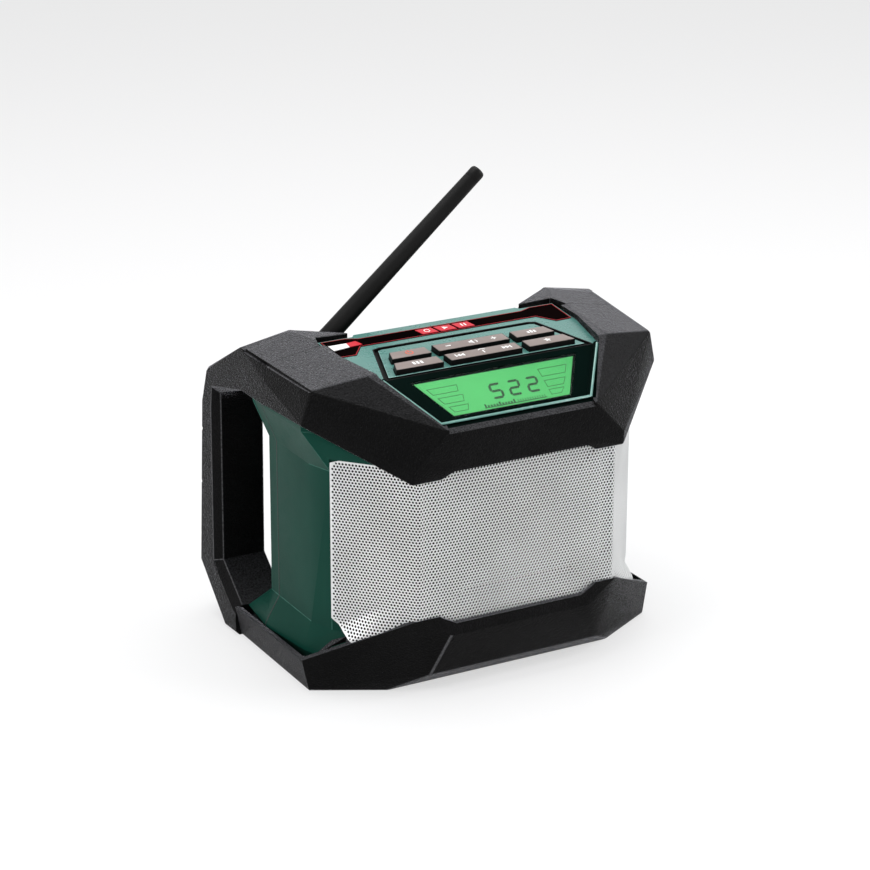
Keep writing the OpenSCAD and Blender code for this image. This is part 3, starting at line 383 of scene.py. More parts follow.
hole_pitch = 2.14
hole_width = 1.56
sheet_gauge = 0.45
face_y = -95.25
crease_x = 69.0
column_x, flank_back = 107, 43
flank_across = column_x - crease_x
flank_reach = hypot(flank_across, flank_back)
flank_turn = atan2(flank_back, flank_across)
crease_radius = 4.0
crease_tangent = crease_radius * tan(flank_turn / 2)
crease_end = crease_x - crease_tangent + crease_radius * flank_turn
rear_gap = 0.3
sheet_half = crease_end + flank_reach - crease_tangent - rear_gap
sheet_high = 150.5
sheet_foot = 48.0
top_fall, top_falls_from = 0.31, 50
foot_fall, foot_falls_from = 0.452, 4
cut_top, cut_lean, cut_height = 46.7, 1.37, 20
centre_fold_z = 68.0
brow_z = 127
panel_half = 38
edge_snap = 1.3
least_metal = 0.3
lowest_hole, column_reach = 24, 70


def smooth_step(value, low, high):
    """0 below low, 1 above high, and 3t^2 - 2t^3 between."""
    t = np.clip((value - low) / (high - low), 0, 1)
    return t * t * (3 - 2 * t)


def along_flank(u):
    """Distance outwards from the crease, along the flank: 0 on the centre face."""
    return np.clip(np.abs(u) - crease_end + crease_tangent, 0, flank_reach)


def sheet_edge(z):
    """Half width of the sheet, along its surface: the flank's foot is cut back beside the skirt."""
    return sheet_half - cut_lean * np.clip(cut_top - z, 0, cut_height)


def sheet_top(u):
    """Height of the sheet's upper edge: it falls away at the rear end of each flank."""
    return sheet_high - top_fall * np.clip(along_flank(u) - top_falls_from, 0, None)


def sheet_bottom(u):
    """Height of the sheet's lower edge, which lies a little below the ridge of the base bumper: level
    at the middle, falling outwards along each flank."""
    return sheet_foot - foot_fall * np.clip(along_flank(u) - foot_falls_from, 0, None)


fold_z, fold_fall = 71.7, 0.557
ridge_out, ridge_growth = 0.53, 0.151
flare_rate, flare_from = 0.0175, 8.5
band_z, band_rise, band_height, band_lean = 128, 0.31, 11, 0.085
low_foot_z, low_height, low_depth, low_spread = 56, 12, 0.9, 0.8
high_height, high_lean, high_spread = 14, 0.068, 1.1
facet_depth, facet_rise = 0.55, 0.6


def sheet_press(u, z):
    """How far the sheet is pressed out. The foot of a flank flares below a slanting fold and stays
    inside the bumper's ridge, and its upper band leans back. Shallow panels are pressed into the
    centre face, with a narrow facet beside each crease."""
    across, s = np.abs(u), along_flank(u)
    fold = fold_z - fold_fall * s
    ridge = ridge_out + ridge_growth * s
    flare = np.minimum(np.clip(fold - z, 0, None) * flare_rate * np.clip(s - flare_from, 0, None), ridge)
    band = band_lean * np.clip(z - band_z - band_rise * s, 0, band_height) * smooth_step(s, 1.0, 4.0)
    low_side = smooth_step(panel_half + low_spread * (centre_fold_z - z) - across, -0.6, 0.6)
    low = low_depth * np.clip((z - low_foot_z) / low_height, 0, 1)
    low = low * low_side * smooth_step(centre_fold_z - z, -0.7, 0.5)
    high_side = smooth_step(panel_half + high_spread * (z - brow_z) - across, -0.7, 0.7)
    high = high_lean * np.clip(z - brow_z, 0, high_height) * high_side
    facet = facet_depth * smooth_step(across, 57.5, 60.0) * smooth_step(z - across * facet_rise, 33, 36)
    facet = facet * (1 - smooth_step(across, crease_x - 4.5, crease_x - 1.0))
    return flare - band - low - high - facet


def sheet_plan(u):
    """Plan of the folded sheet: a straight face, an arc that turns by flank_turn, then the flank."""
    across = np.abs(u)
    start = crease_x - crease_tangent
    turned = np.clip((across - start) / crease_radius, 0, flank_turn)
    straight = np.minimum(across, start)
    beyond = np.clip(across - crease_end, 0, None)
    x = straight + crease_radius * np.sin(turned) + beyond * cos(flank_turn)
    y = face_y + crease_radius * (1 - np.cos(turned)) + beyond * sin(flank_turn)
    return np.sign(u) * x, y, np.sign(u) * np.sin(turned), -np.cos(turned)


def on_sheet(uz, depth):
    """Points of the sheet, depth behind its face, from its surface coordinates."""
    u, z = uz[:, 0], uz[:, 1]
    x, y, nx, ny = sheet_plan(u)
    out = sheet_press(u, z) - depth
    return np.stack([x + nx * out, y + ny * out, z], axis=1) * MM


def punched(name, wanted):
    """Part of the sheet: a hexagon of metal round each hole whose centre is wanted. Every hexagon
    has 6 corners and a 12-sided hole, and the rows are spaced by the pitch times sin 60."""
    row_gap = hole_pitch * sin(pi / 3)
    rows = np.arange(int(lowest_hole / row_gap), int(sheet_high / row_gap) + 1)
    columns = np.arange(-column_reach, column_reach + 1)
    j, i = np.meshgrid(rows, columns, indexing="ij")
    centres = np.stack([(i + 0.5 * (j % 2)) * hole_pitch, j * row_gap], axis=-1).reshape(-1, 2)
    inside = np.abs(centres[:, 0]) < sheet_edge(centres[:, 1]) - hole_width / 2 - least_metal
    inside &= centres[:, 1] > sheet_bottom(centres[:, 0])
    inside &= centres[:, 1] < sheet_top(centres[:, 0]) - row_gap / 2
    everywhere = centres[inside]

    corner_turn = radians(30) + np.arange(6) * radians(60)
    corner = hole_pitch / 3 ** 0.5 * np.stack([np.cos(corner_turn), np.sin(corner_turn)], axis=1)
    rim_turn = np.arange(12) * radians(30)
    rim = hole_width / 2 * np.stack([np.cos(rim_turn), np.sin(rim_turn)], axis=1)

    shared = np.round((everywhere[:, None, :] + corner).reshape(-1, 2), 3)
    points, index, used = np.unique(shared, axis=0, return_inverse=True, return_counts=True)
    index = index.reshape(-1, 6)
    edge = sheet_edge(points[:, 1])
    loose = (used < 3) & (np.abs(points[:, 0]) > edge - edge_snap * hole_pitch)
    points[loose, 0] = np.sign(points[loose, 0]) * edge[loose]
    brink = sheet_top(points[:, 0])
    loose = (used < 3) & (points[:, 1] > brink - edge_snap * row_gap)
    points[loose, 1] = brink[loose]

    mine = wanted(everywhere)
    index = index[mine]
    centres = everywhere[mine]
    kept, index = np.unique(index, return_inverse=True)
    points, index = points[kept], index.reshape(-1, 6)
    rims = (centres[:, None, :] + rim).reshape(-1, 2)
    front_count = len(points) + len(rims)
    flat = np.concatenate([points, rims])
    verts = np.concatenate([on_sheet(flat, 0), on_sheet(flat, sheet_gauge)])

    ring = len(points) + np.arange(len(centres))[:, None] * 12
    faces = []
    for k in range(6):
        a, b = index[:, k], index[:, (k + 1) % 6]
        r = [ring[:, 0] + (1 + 2 * k + n) % 12 for n in range(3)]
        for tri in ((a, b, r[1]), (a, r[1], r[0]), (b, r[2], r[1])):
            tri = np.stack(tri, axis=1)
            faces += tri.tolist()
            faces += (tri[:, ::-1] + front_count).tolist()
        for n in range(2):
            faces += np.stack([r[n], r[n + 1], r[n + 1] + front_count, r[n] + front_count], axis=1).tolist()
    pairs = np.concatenate([index[:, [k, (k + 1) % 6]] for k in range(6)])
    _, where, count = np.unique(np.sort(pairs, axis=1), axis=0, return_index=True, return_counts=True)
    rim_edges = pairs[where[count == 1]]
    faces += np.stack([rim_edges[:, 1], rim_edges[:, 0], rim_edges[:, 0] + front_count,
                       rim_edges[:, 1] + front_count], axis=1).tolist()

    mesh = bpy.data.meshes.new(name)
    mesh.from_pydata(verts.tolist(), [], faces)
    mesh.validate()
    mesh.shade_smooth()
    mesh.set_sharp_from_angle(angle=radians(40))
    made = bpy.data.objects.new(name, mesh)
    scene.collection.objects.link(made)
    mesh.materials.append(silver_paint)
    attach(made, "radio")
    return made


silver_paint, shade, shader = begin("silver_paint")
place = shade.make("TexCoord", out="Object")
flakes = shade.make("TexNoise", Vector=place, Scale=2600.0, Detail=1.0)
clouds = shade.make("TexNoise", Vector=place, Scale=22.0, Detail=3.0)
feed(shader, Base_Color=clouds.between(0.35, 0.65).blend((0.72, 0.73, 0.73, 1), (0.79, 0.80, 0.80, 1)),
     Metallic=0.25, Roughness=flakes.between(0.3, 0.7) * 0.12 + 0.34,
     Normal=shade.make("Bump", Height=flakes, Distance=0.01 * MM, Strength=0.6))

sheet_parts = [
    punched("grille_face", lambda c: (np.abs(c[:, 0]) < crease_x) & (c[:, 1] >= centre_fold_z)),
    punched("grille_apron", lambda c: (np.abs(c[:, 0]) < crease_x) & (c[:, 1] < centre_fold_z)),
    punched("grille_flank_left", lambda c: c[:, 0] <= -crease_x),
    punched("grille_flank_right", lambda c: c[:, 0] >= crease_x),
]
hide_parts("grille")

fleece_inset = 0.5
fleece_foot_gap, fleece_top_gap = 1, 0.6
fleece_gap = 0.03
fleece_thick = 0.12


def fleece(depth, wide, high):
    """The black fleece glued behind the sheet: a grid in the sheet's own surface coordinates, from
    edge to edge and up from the higher of its foot and the flank's cut edge, pressed as the sheet is."""
    across, up = np.meshgrid(np.linspace(-1, 1, wide), np.linspace(0, 1, high), indexing="ij")
    half = sheet_half - fleece_inset
    u = across * half
    low = np.maximum(sheet_bottom(u) + fleece_foot_gap, cut_top - (half - np.abs(u)) / cut_lean)
    z = low + (sheet_top(u) - fleece_top_gap - low) * up
    flat = np.stack([u, z], axis=-1).reshape(-1, 2)
    return np.concatenate([on_sheet(flat, depth), on_sheet(flat, depth + fleece_thick)])


wide, high = 241, 61
i, j = np.meshgrid(np.arange(wide - 1), np.arange(high - 1), indexing="ij")
quad = np.stack([i * high + j, (i + 1) * high + j, (i + 1) * high + j + 1, i * high + j + 1], axis=-1)
quad = quad.reshape(-1, 4)
rim = np.concatenate([np.arange(wide) * high, (wide - 1) * high + np.arange(1, high),
                      np.arange(wide - 2, -1, -1) * high + high - 1, np.arange(high - 2, 0, -1)])
after = np.roll(rim, -1)
back = wide * high
fleece_faces = np.concatenate([quad, quad[:, ::-1] + back,
                               np.stack([after, rim, rim + back, after + back], axis=1)])

cloth, shade, shader = begin("dust_cloth")
place = shade.make("TexCoord", out="Object")
warp = shade.make("TexWave", settings={"bands_direction": "DIAGONAL"},
                  Vector=place, Scale=420.0, Distortion=0.4)
weft = shade.make("TexWave", settings={"bands_direction": "Z"},
                  Vector=place, Scale=520.0, Distortion=0.4)
feed(shader, Base_Color=(warp * weft).blend((0.002, 0.002, 0.002, 1), (0.008, 0.008, 0.009, 1)),
     Roughness=0.95, Specular_IOR_Level=0.05,
     Normal=shade.make("Bump", Height=warp * weft, Distance=0.2 * MM, Strength=0.6))
dress("grille_cloth", cloth)
fleece_mesh = bpy.data.meshes.new("grille_fleece")
fleece_mesh.from_pydata(fleece(sheet_gauge + fleece_gap, wide, high).tolist(), [], fleece_faces.tolist())
fleece_mesh.materials.append(cloth)
fleece_piece = bpy.data.objects.new("grille_fleece", fleece_mesh)
scene.collection.objects.link(fleece_piece)
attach(fleece_piece, "radio")

# ---- Speakers ----
# A pair of full-range drivers behind the cloth: pressed steel baskets, coated paper cones with a
# rolled edge and ferrite magnets, each on a foam gasket.

basket_paint = grainy("basket_paint", (0.05, 0.05, 0.055, 1), (0.07, 0.07, 0.075, 1), 0.38, 1500.0, 0.02)
cone_paper = grainy("cone_paper", (0.012, 0.012, 0.012, 1), (0.022, 0.021, 0.020, 1), 0.82, 900.0, 0.12)
magnet_iron = grainy("magnet_iron", (0.10, 0.10, 0.105, 1), (0.15, 0.15, 0.15, 1), 0.42, 1200.0, 0.03)
gasket_foam = grainy("gasket_foam", (0.015, 0.015, 0.015, 1), (0.03, 0.03, 0.03, 1), 0.9, 700.0, 0.2)
dress("speaker_gaskets", gasket_foam)
for side in ("left", "right"):
    dress(side + "_speaker_frame", basket_paint)
    dress(side + "_speaker_cone", cone_paper)
    dress(side + "_speaker_magnet", magnet_iron)

# ---- Control deck ----
# A satin teal plate screwed down on the well of the housing, with a trench moulded round the keys
# and a glossy dark bezel that slopes down in front of it.

deck_tilt = radians(5)
display_tilt = radians(35)
deck_front = (-60.5, 197.0)

# The deck's roundings are lightened to the paler edge teal: partly rubbed wear, partly a painted edge
# highlight.
teal_plastic = grainy("teal_plastic", (0.050, 0.170, 0.148, 1), (0.066, 0.205, 0.180, 1), 0.26, 2100.0, 0.02,
                      shine=0.7, edge=(0.22, 0.42, 0.39, 1))
rounded("top_plate", teal_plastic, 0.35, least=3.0)
bezel_gloss = grainy("bezel_gloss", (0.001, 0.004, 0.003, 1), (0.001, 0.006, 0.005, 1), 0.20, 900.0, 0.004,
                     shine=0.01)
rounded("display_bezel", bezel_gloss, 0.4, least=2.5)


def tilted(tilt):
    """A function that turns points of a sloping face's own frame into place: origin at the edge
    between deck and display, y back up the slope and z square to it."""
    def place_on(p):
        p = np.asarray(p, float)
        x, y, z = p[..., 0], p[..., 1], p[..., 2]
        return np.stack([x, deck_front[0] + y * cos(tilt) - z * sin(tilt),
                         deck_front[1] + y * sin(tilt) + z * cos(tilt)], axis=-1) * MM
    return place_on


on_deck = tilted(deck_tilt)
on_slope = tilted(display_tilt)


def solid(name, verts, faces, material, body, slot_name, smooth=30.0):
    """A mesh object from points in metres, riding on a body."""
    mesh = bpy.data.meshes.new(name)
    mesh.from_pydata(np.asarray(verts, float).tolist(), [], [list(f) for f in faces])
    mesh.validate()
    mesh.shade_smooth()
    mesh.set_sharp_from_angle(angle=radians(smooth))
    mesh.materials.append(material)
    made = bpy.data.objects.new(name, mesh)
    scene.collection.objects.link(made)
    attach(made, body)
    return made


def plates(outlines, low, high):
    """Flat plates from counter-clockwise outlines: each is a prism from height low to high."""
    verts, faces = [], []
    for outline in outlines:
        outline = np.asarray(outline, float)
        n, first = len(outline), len(verts)
        for z in (low, high):
            verts += [(x, y, z) for x, y in outline]
        faces.append([first + k for k in reversed(range(n))])
        faces.append([first + n + k for k in range(n)])
        faces += [[first + k, first + (k + 1) % n, first + n + (k + 1) % n, first + n + k] for k in range(n)]
    return verts, faces


def frames(outlines, width, low, high):
    """Closed bands of that width inside each outline: four loops of points joined in a ring."""
    verts, faces = [], []
    for outline in outlines:
        outer = np.asarray(outline, float)
        inner = grown(outer, -width)
        n, first = len(outer), len(verts)
        for loop, z in ((outer, low), (outer, high), (inner, high), (inner, low)):
            verts += [(x, y, z) for x, y in loop]
        for ring in range(4):
            a, b = first + ring * n, first + (ring + 1) % 4 * n
            faces += [[a + k, a + (k + 1) % n, b + (k + 1) % n, b + k] for k in range(n)]
    return verts, faces


def grown(outline, d):
    """Every edge of a counter-clockwise outline moved outwards by d."""
    here = np.asarray(outline, float)
    step = np.roll(here, -1, axis=0) - here
    step /= np.linalg.norm(step, axis=1)[:, None]
    after = np.stack([step[:, 1], -step[:, 0]], axis=1)
    before = np.roll(after, 1, axis=0)
    return here + d * (before + after) / (1 + np.sum(before * after, axis=1))[:, None]


def merged(*shapes):
    """Several (points, faces) pairs as one."""
    verts, faces = [], []
    for v, f in shapes:
        faces += [[len(verts) + k for k in face] for face in f]
        verts += list(v)
    return verts, faces


# ---- Display ----
# A clear lens over a green-lit panel of liquid crystal, which shows three digits, outlined fields
# and a bar of ticks. A raised rim runs down both sides and along the foot of the window.

lens_glass, shade, shader = begin("lens_glass")
place = shade.make("TexCoord", out="Object")
smears = shade.make("TexNoise", Vector=place, Scale=45.0, Detail=4.0)
feed(shader, Base_Color=(0.86, 0.97, 0.88, 1), Roughness=smears.between(0.4, 0.8) * 0.05 + 0.02,
     IOR=1.2, Transmission_Weight=1.0)
dress("display_lens", lens_glass)

lcd_glow, shade, shader = begin("lcd_glow")
place = shade.make("TexCoord", out="Object")
across = shade.make("SeparateXYZ", out="X", Vector=place)
mottle = shade.make("TexNoise", Vector=place, Scale=28.0, Detail=2.0)
lit = (across * 2.2 + mottle * 0.5).between(-0.05, 0.55)
lit_colour = lit.blend((0.105, 0.45, 0.160, 1), (0.062, 0.34, 0.110, 1))
feed(shader, Base_Color=lit_colour, Roughness=0.35, Emission_Color=lit_colour, Emission_Strength=0.2,
     Specular_IOR_Level=0.2)
dress("lcd_panel", lcd_glow)

diffuser = grainy("diffuser", (0.78, 0.82, 0.78, 1), (0.84, 0.87, 0.84, 1), 0.5, 900.0, 0.02)
dress("backlight", diffuser)

digit_h, digit_w, stroke = 10.0, 7.0, 1.6
segments_of = {2: "abdeg", 5: "acdfg"}
lcd_ink = grainy("lcd_ink", (0.004, 0.045, 0.014, 1), (0.006, 0.055, 0.018, 1), 0.4, 1200.0, 0.005)


def segment(x0, y0, x1, y1):
    """A stroke with pointed ends from one point to another."""
    length = hypot(x1 - x0, y1 - y0)
    dx, dy = (x1 - x0) / length, (y1 - y0) / length
    h = stroke / 2
    shape = [(0.15, 0), (h, -h), (length - h, -h), (length - 0.15, 0), (length - h, h), (h, h)]
    return [(x0 + a * dx - b * dy, y0 + a * dy + b * dx) for a, b in shape]


def digit(number, x, y):
    """Seven-segment outlines of one digit, leaning by a tenth, with its lower left corner at x, y."""
    w, h, m = digit_w, digit_h, digit_h / 2
    ends = {"a": (0, h, w, h), "b": (w, m, w, h), "c": (w, 0, w, m), "d": (0, 0, w, 0),
            "e": (0, 0, 0, m), "f": (0, m, 0, h), "g": (0, m, w, m)}
    strokes = [segment(*ends[s]) for s in segments_of[number]]
    return [[(x + a + 0.1 * b, y + b) for a, b in one] for one in strokes]


def field(x0, x1, top, bottom, lean_left, lean_right):
    """A four-cornered box whose ends lean as the window's sides do."""
    return [(x0 + lean_left, bottom), (x1 - lean_right, bottom), (x1, top), (x0, top)]


figures = [s for number, x in ((5, -9.6), (2, 3.2), (2, 16.0)) for s in digit(number, x, -25.4)]
ticks = [[(x, -30.9), (x + 1.1, -30.9), (x + 1.1, -29.5 + tall), (x, -29.5 + tall)]
         for x, tall in [(-18.0 + 2.0 * k, 1.0 if k % 5 == 0 else 0.0) for k in range(11)]]
faint_ticks = [[(x, -30.9), (x + 0.4, -30.9), (x + 0.4, -29.2), (x, -29.2)]
               for x in [5.0 + 1.7 * k for k in range(12)]]
base_line = [[(-18.2, -31.5), (25, -31.5), (25, -31.0), (-18.2, -31.0)]]
fields = [field(-49.7, -28.8, -10.8, -15.6, 2.6, 0.9), field(-45.3, -27.8, -18.3, -23.3, 2.6, 1.3),
          field(-41.0, -27.4, -25.7, -30.1, 2.2, 2.0), field(28.0, 48.8, -10.4, -16.3, 0.5, 3.6),
          field(28.4, 43.8, -19.3, -24.3, 0.3, 3.6), field(28.4, 39.5, -26.3, -30.3, 0.3, 3.6)]
panel_face = -1.2
ink_height = 0.12
marks = merged(plates(figures + ticks + faint_ticks + base_line, panel_face, panel_face + ink_height),
               frames(fields, 0.28, panel_face, panel_face + ink_height))
solid("lcd_marks", on_slope(marks[0]), marks[1], lcd_ink, "radio", "lcd_green")


def tube_faces(rings, around):
    """Faces of a tube whose points lie in rings: quads between neighbours, and a cap at each end."""
    faces = [[i * around + j, i * around + (j + 1) % around,
              (i + 1) * around + (j + 1) % around, (i + 1) * around + j]
             for i in range(rings - 1) for j in range(around)]
    return faces + [list(range(around))[::-1], [(rings - 1) * around + j for j in range(around)]]


def beading(name, path, width, rise, place_on, material, body, slot_name, base=0.0):
    """A low rounded bead along a path on a sloping face: a half ellipse carried along the path,
    square to it, with mitred corners."""
    path = np.asarray(path, float)
    step = np.diff(path, axis=0)
    step /= np.linalg.norm(step, axis=1)[:, None]
    before, after = np.concatenate([step[:1], step]), np.concatenate([step, step[-1:]])
    side = np.stack([before[:, 1] + after[:, 1], -before[:, 0] - after[:, 0]], axis=1)
    side /= (1 + np.sum(before * after, axis=1))[:, None]
    arc = np.linspace(0, pi, 9)
    offset = np.concatenate([width / 2 * np.cos(arc), [-width / 2, width / 2]])
    up = np.concatenate([rise * np.sin(arc), [-0.2, -0.2]])
    verts = np.stack([path[:, None, 0] + side[:, None, 0] * offset,
                      path[:, None, 1] + side[:, None, 1] * offset,
                      np.broadcast_to(base + up, (len(path), len(up)))], axis=-1)
    made = solid(name, place_on(verts.reshape(-1, 3)), tube_faces(len(path), len(up)),
                 material, body, slot_name, smooth=50)
    outward = bmesh.new()
    outward.from_mesh(made.data)
    bmesh.ops.recalc_face_normals(outward, faces=outward.faces)
    outward.to_mesh(made.data)
    outward.free()
    return made


# The rim is a paler teal than the deck: its own teal, lightened by a painted highlight along the ridge.
rim_plastic_highlit = grainy("rim_plastic_highlit", (0.10, 0.26, 0.225, 1), (0.13, 0.31, 0.27, 1), 0.22, 1500.0, 0.01,
                     shine=0.8)
beading("display_rim", [(-75.2, -0.5), (-52.3, -37.9), (52.3, -37.9), (75.2, -0.5)],
        1.7, 0.45, on_slope, rim_plastic_highlit, "radio", "bezel_plastic", base=1.32)

# ---- Accent strip ----
# A glossy black film let into the deck behind the keys, with a fine red line round it, three red
# tiles with small white marks, and a bare badge plate with a red end at its left.

deck_depth, strip_from_rear, strip_end_gap = 70.5, 18.8, 4
deck_length = deck_depth / cos(deck_tilt)
strip_v = deck_length - strip_from_rear
strip_end_v = deck_length - strip_end_gap
strip_black = grainy("strip_black", (0.002, 0.001, 0.001, 1), (0.004, 0.002, 0.002, 1), 0.30, 1200.0, 0.004,
                     shine=0.0)
tile_red = grainy("tile_red", (0.50, 0.010, 0.022, 1), (0.60, 0.016, 0.036, 1), 0.28, 1500.0, 0.008,
                  shine=0.2)
line_red = grainy("line_red", (0.26, 0.010, 0.014, 1), (0.32, 0.014, 0.020, 1), 0.40, 1500.0, 0.008,
                  shine=0.1)
mark_white = grainy("mark_white", (0.80, 0.80, 0.79, 1), (0.86, 0.86, 0.85, 1), 0.5, 1500.0, 0.01)
rounded("accent_strip", strip_black, 0.15, least=2.0)
rounded("accent_tiles", tile_red, 0.2, least=2.0)

strip_plan = [(-82.5, strip_v - 10.5), (-71, strip_v - 11), (-62.5, strip_v), (62.5, strip_v),
              (71, strip_v - 11), (82.5, strip_v - 10.5), (83, strip_end_v), (66, strip_end_v),
              (58, strip_v + 11.8), (-58, strip_v + 11.8), (-66, strip_end_v), (-83, strip_end_v)]
edge_line = frames([grown(strip_plan, -0.2)], 0.55, 0.25, 0.40)
solid("strip_line", on_deck(edge_line[0]), edge_line[1], line_red, "radio", "red_plastic")
badge_low, badge_high = 0.2, 0.66
badge = plates([[(-81.0, strip_v - 0.6), (-69.3, strip_v + 1.4),
                 (-68.9, strip_v + 7.2), (-81.3, strip_v + 7.2)]], badge_low, badge_high)
solid("strip_badge", on_deck(badge[0]), badge[1], mark_white, "radio", "white_plastic")
badge_end = plates([[(-69.2, strip_v + 1.4), (-60.2, strip_v + 2.2),
                     (-62.0, strip_v + 8.4), (-68.8, strip_v + 7.2)]], badge_low, badge_high)
solid("strip_badge_end", on_deck(badge_end[0]), badge_end[1], tile_red, "radio", "red_plastic")


def ring_of(x, y, outer, inner, start=0.0, end=2 * pi, steps=28):
    """Outline of a ring, or of a part of one, drawn outwards and back."""
    turn = np.linspace(start, end, steps)
    out = [(x + outer * cos(t), y + outer * sin(t)) for t in turn]
    back = [(x + inner * cos(t), y + inner * sin(t)) for t in turn[::-1]]
    return out + back


tile_v = strip_v + 6.0
tile_marks = [ring_of(-13, tile_v, 2.1, 1.45, 0.15, 2 * pi - 0.15),
              [(-1.7, tile_v - 1.9), (2.2, tile_v), (-1.7, tile_v + 1.9)],
              [(11.4, tile_v - 1.8), (12.3, tile_v - 1.8), (12.3, tile_v + 1.8), (11.4, tile_v + 1.8)],
              [(13.7, tile_v - 1.8), (14.6, tile_v - 1.8), (14.6, tile_v + 1.8), (13.7, tile_v + 1.8)]]
shown = plates(tile_marks, 0.4, 0.56)
solid("tile_marks", on_deck(shown[0]), shown[1], mark_white, "radio", "white_plastic")

# ---- Keys ----
# Six keys: black bodies that come up through the deck, each with a taupe cap and a small printed
# symbol. The four short ones press straight in, and the two long ones rock.

key_up = 3.2
row_v = (5.0, 20.5)
key_d = 10.0
centre_x, side_x = 25.0, 30.0
outer_x = ((63.0, 59.5), (57.5, 54.5))
cap_margin, cap_step = 0.35, 0.6
print_low, print_high = key_up + 0.25, key_up + 0.4
key_black = grainy("key_black", (0.003, 0.003, 0.003, 1), (0.005, 0.005, 0.005, 1), 0.42, 1900.0, 0.03,
                   shine=0.06)
key_taupe = grainy("key_taupe", (0.205, 0.168, 0.155, 1), (0.235, 0.194, 0.180, 1), 0.42, 2000.0, 0.03,
                   shine=0.3)
ink_red = grainy("ink_red", (0.62, 0.10, 0.05, 1), (0.70, 0.12, 0.06, 1), 0.5, 1500.0, 0.01)

# the trench round the keys is lined with black on its floor, walls and rim: painted shade where the trench
# lies in shadow
trench_t, trench_d, trench_skin = 2.6, 1.9, 0.12
key_field = [(-57.5, 44.5), (-72.5, 0.8), (72.5, 0.8), (57.5, 44.5), (53.0, 46.0), (-53.0, 46.0)]
trench_shade_walls = merged(frames([grown(key_field, 0.01)], trench_skin, -trench_d, -0.15),
                      frames([grown(key_field, trench_skin - trench_t)], trench_skin, -trench_d, -0.15),
                      frames([key_field], trench_t, -trench_d, trench_skin - trench_d),
                      frames([grown(key_field, 0.8)], 0.8 + trench_skin, -0.15, 0.05))
solid("trench_shade_lining", on_deck(trench_shade_walls[0]), trench_shade_walls[1], key_black, "radio", "key_plastic")


def side_outline(row, hand):
    """Outline of a short key: square beside the long key, and slanted on its outer side."""
    near, far = outer_x[row]
    front, rear = row_v[row], row_v[row] + key_d
    half = [(side_x, front), (near, front), (far, rear), (side_x, rear)]
    return half if hand > 0 else [(-x, y) for x, y in reversed(half)]


def centre_outline(row):
    """Outline of a long key: a rectangle across the middle of its row."""
    front, rear = row_v[row], row_v[row] + key_d
    return [(-centre_x, front), (centre_x, front), (centre_x, rear), (-centre_x, rear)]


def crowned_cap(outline):
    """A cap on a key: loops that step in from the key's outline and round over to a flat top."""
    loops = [(0.25, -0.4), (0.0, -0.3), (0.0, -0.05), (-0.25, 0.18), (-0.7, 0.3)]
    verts = [(x, y, key_up + rise) for inset, rise in loops
             for x, y in grown(outline, inset * cap_step - cap_margin)]
    return verts, tube_faces(len(loops), len(outline))


def bar(x, y, w, h):
    """Outline of an upright rectangle round its middle."""
    return [(x - w / 2, y - h / 2), (x + w / 2, y - h / 2), (x + w / 2, y + h / 2), (x - w / 2, y + h / 2)]


def arrow(x, y, way, size=1.8):
    """Outline of a triangle that points right where way is 1, and left where it is -1."""
    tip = [(x - way * size * 0.7, y - size), (x + way * size * 0.8, y), (x - way * size * 0.7, y + size)]
    return tip if way > 0 else tip[::-1]


def symbols(key, x, y):
    """Printed marks of one key, round its middle."""
    if key == "power_key":
        return [ring_of(x, y, 2.6, 1.9, radians(125), radians(415)), bar(x, y + 2.0, 0.8, 3.0)]
    if key == "mode_key":
        return [bar(x - 2.6, y, 1.6, 3.6), bar(x, y, 1.6, 3.6), bar(x + 2.6, y, 1.6, 3.6)]
    if key == "volume_rocker":
        cone = [(x - 0.3, y - 0.9), (x + 1.5, y - 2.4), (x + 1.5, y + 2.4), (x - 0.3, y + 0.9)]
        return [bar(x - 16, y, 3.6, 0.9), bar(x + 16, y, 3.6, 0.9), bar(x + 16, y, 0.9, 3.6),
                bar(x - 1.0, y, 1.2, 1.8), cone, ring_of(x + 1.5, y, 2.9, 2.2, -0.7, 0.7, 12)]
    if key == "channel_rocker":
        return [bar(x - 19.2, y, 0.8, 3.6), arrow(x - 17.2, y, -1), arrow(x - 14.6, y, -1),
                arrow(x + 14.6, y, 1), arrow(x + 17.2, y, 1), bar(x + 19.2, y, 0.8, 3.6),
                bar(x, y - 0.4, 0.8, 3.4), ring_of(x, y + 0.9, 3.0, 2.3, 0.5, 2.64, 14)]
    if key == "eq_key":
        return [bar(x - 2.3, y - 0.6, 1.4, 2.4), bar(x, y, 1.4, 3.6), bar(x + 2.3, y - 0.3, 1.4, 3.0)]
    turn = np.arange(10) * pi / 5 + pi / 2
    reach = np.where(np.arange(10) % 2 == 0, 2.6, 1.1)
    return [[(x + r * cos(t), y + r * sin(t)) for r, t in zip(reach, turn)]]


key_outlines = {
    "power_key": side_outline(1, -1), "mode_key": side_outline(0, -1),
    "volume_rocker": centre_outline(1), "channel_rocker": centre_outline(0),
    "eq_key": side_outline(1, 1), "station_key": side_outline(0, 1),
}
for key, outline in key_outlines.items():
    body = frame["nodes"][key]["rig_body"]
    rounded(key, key_black, 0.45, least=1.5, fillets=False)
    cap = crowned_cap(outline)
    solid(key + "_cap", on_deck(cap[0]), cap[1], key_taupe, body, "key_plastic", smooth=40)
    cx, cy = np.mean(outline, axis=0)
    ink = ink_red if key == "power_key" else mark_white
    print_v, print_f = plates(symbols(key, cx, cy), print_low, print_high)
    solid(key + "_print", on_deck(print_v), print_f, ink, body, "white_plastic")

# ---- Boards ----
# Green circuit boards: one under the keys with their rubber mat, one on pillars at the back with a
# finned heat sink.

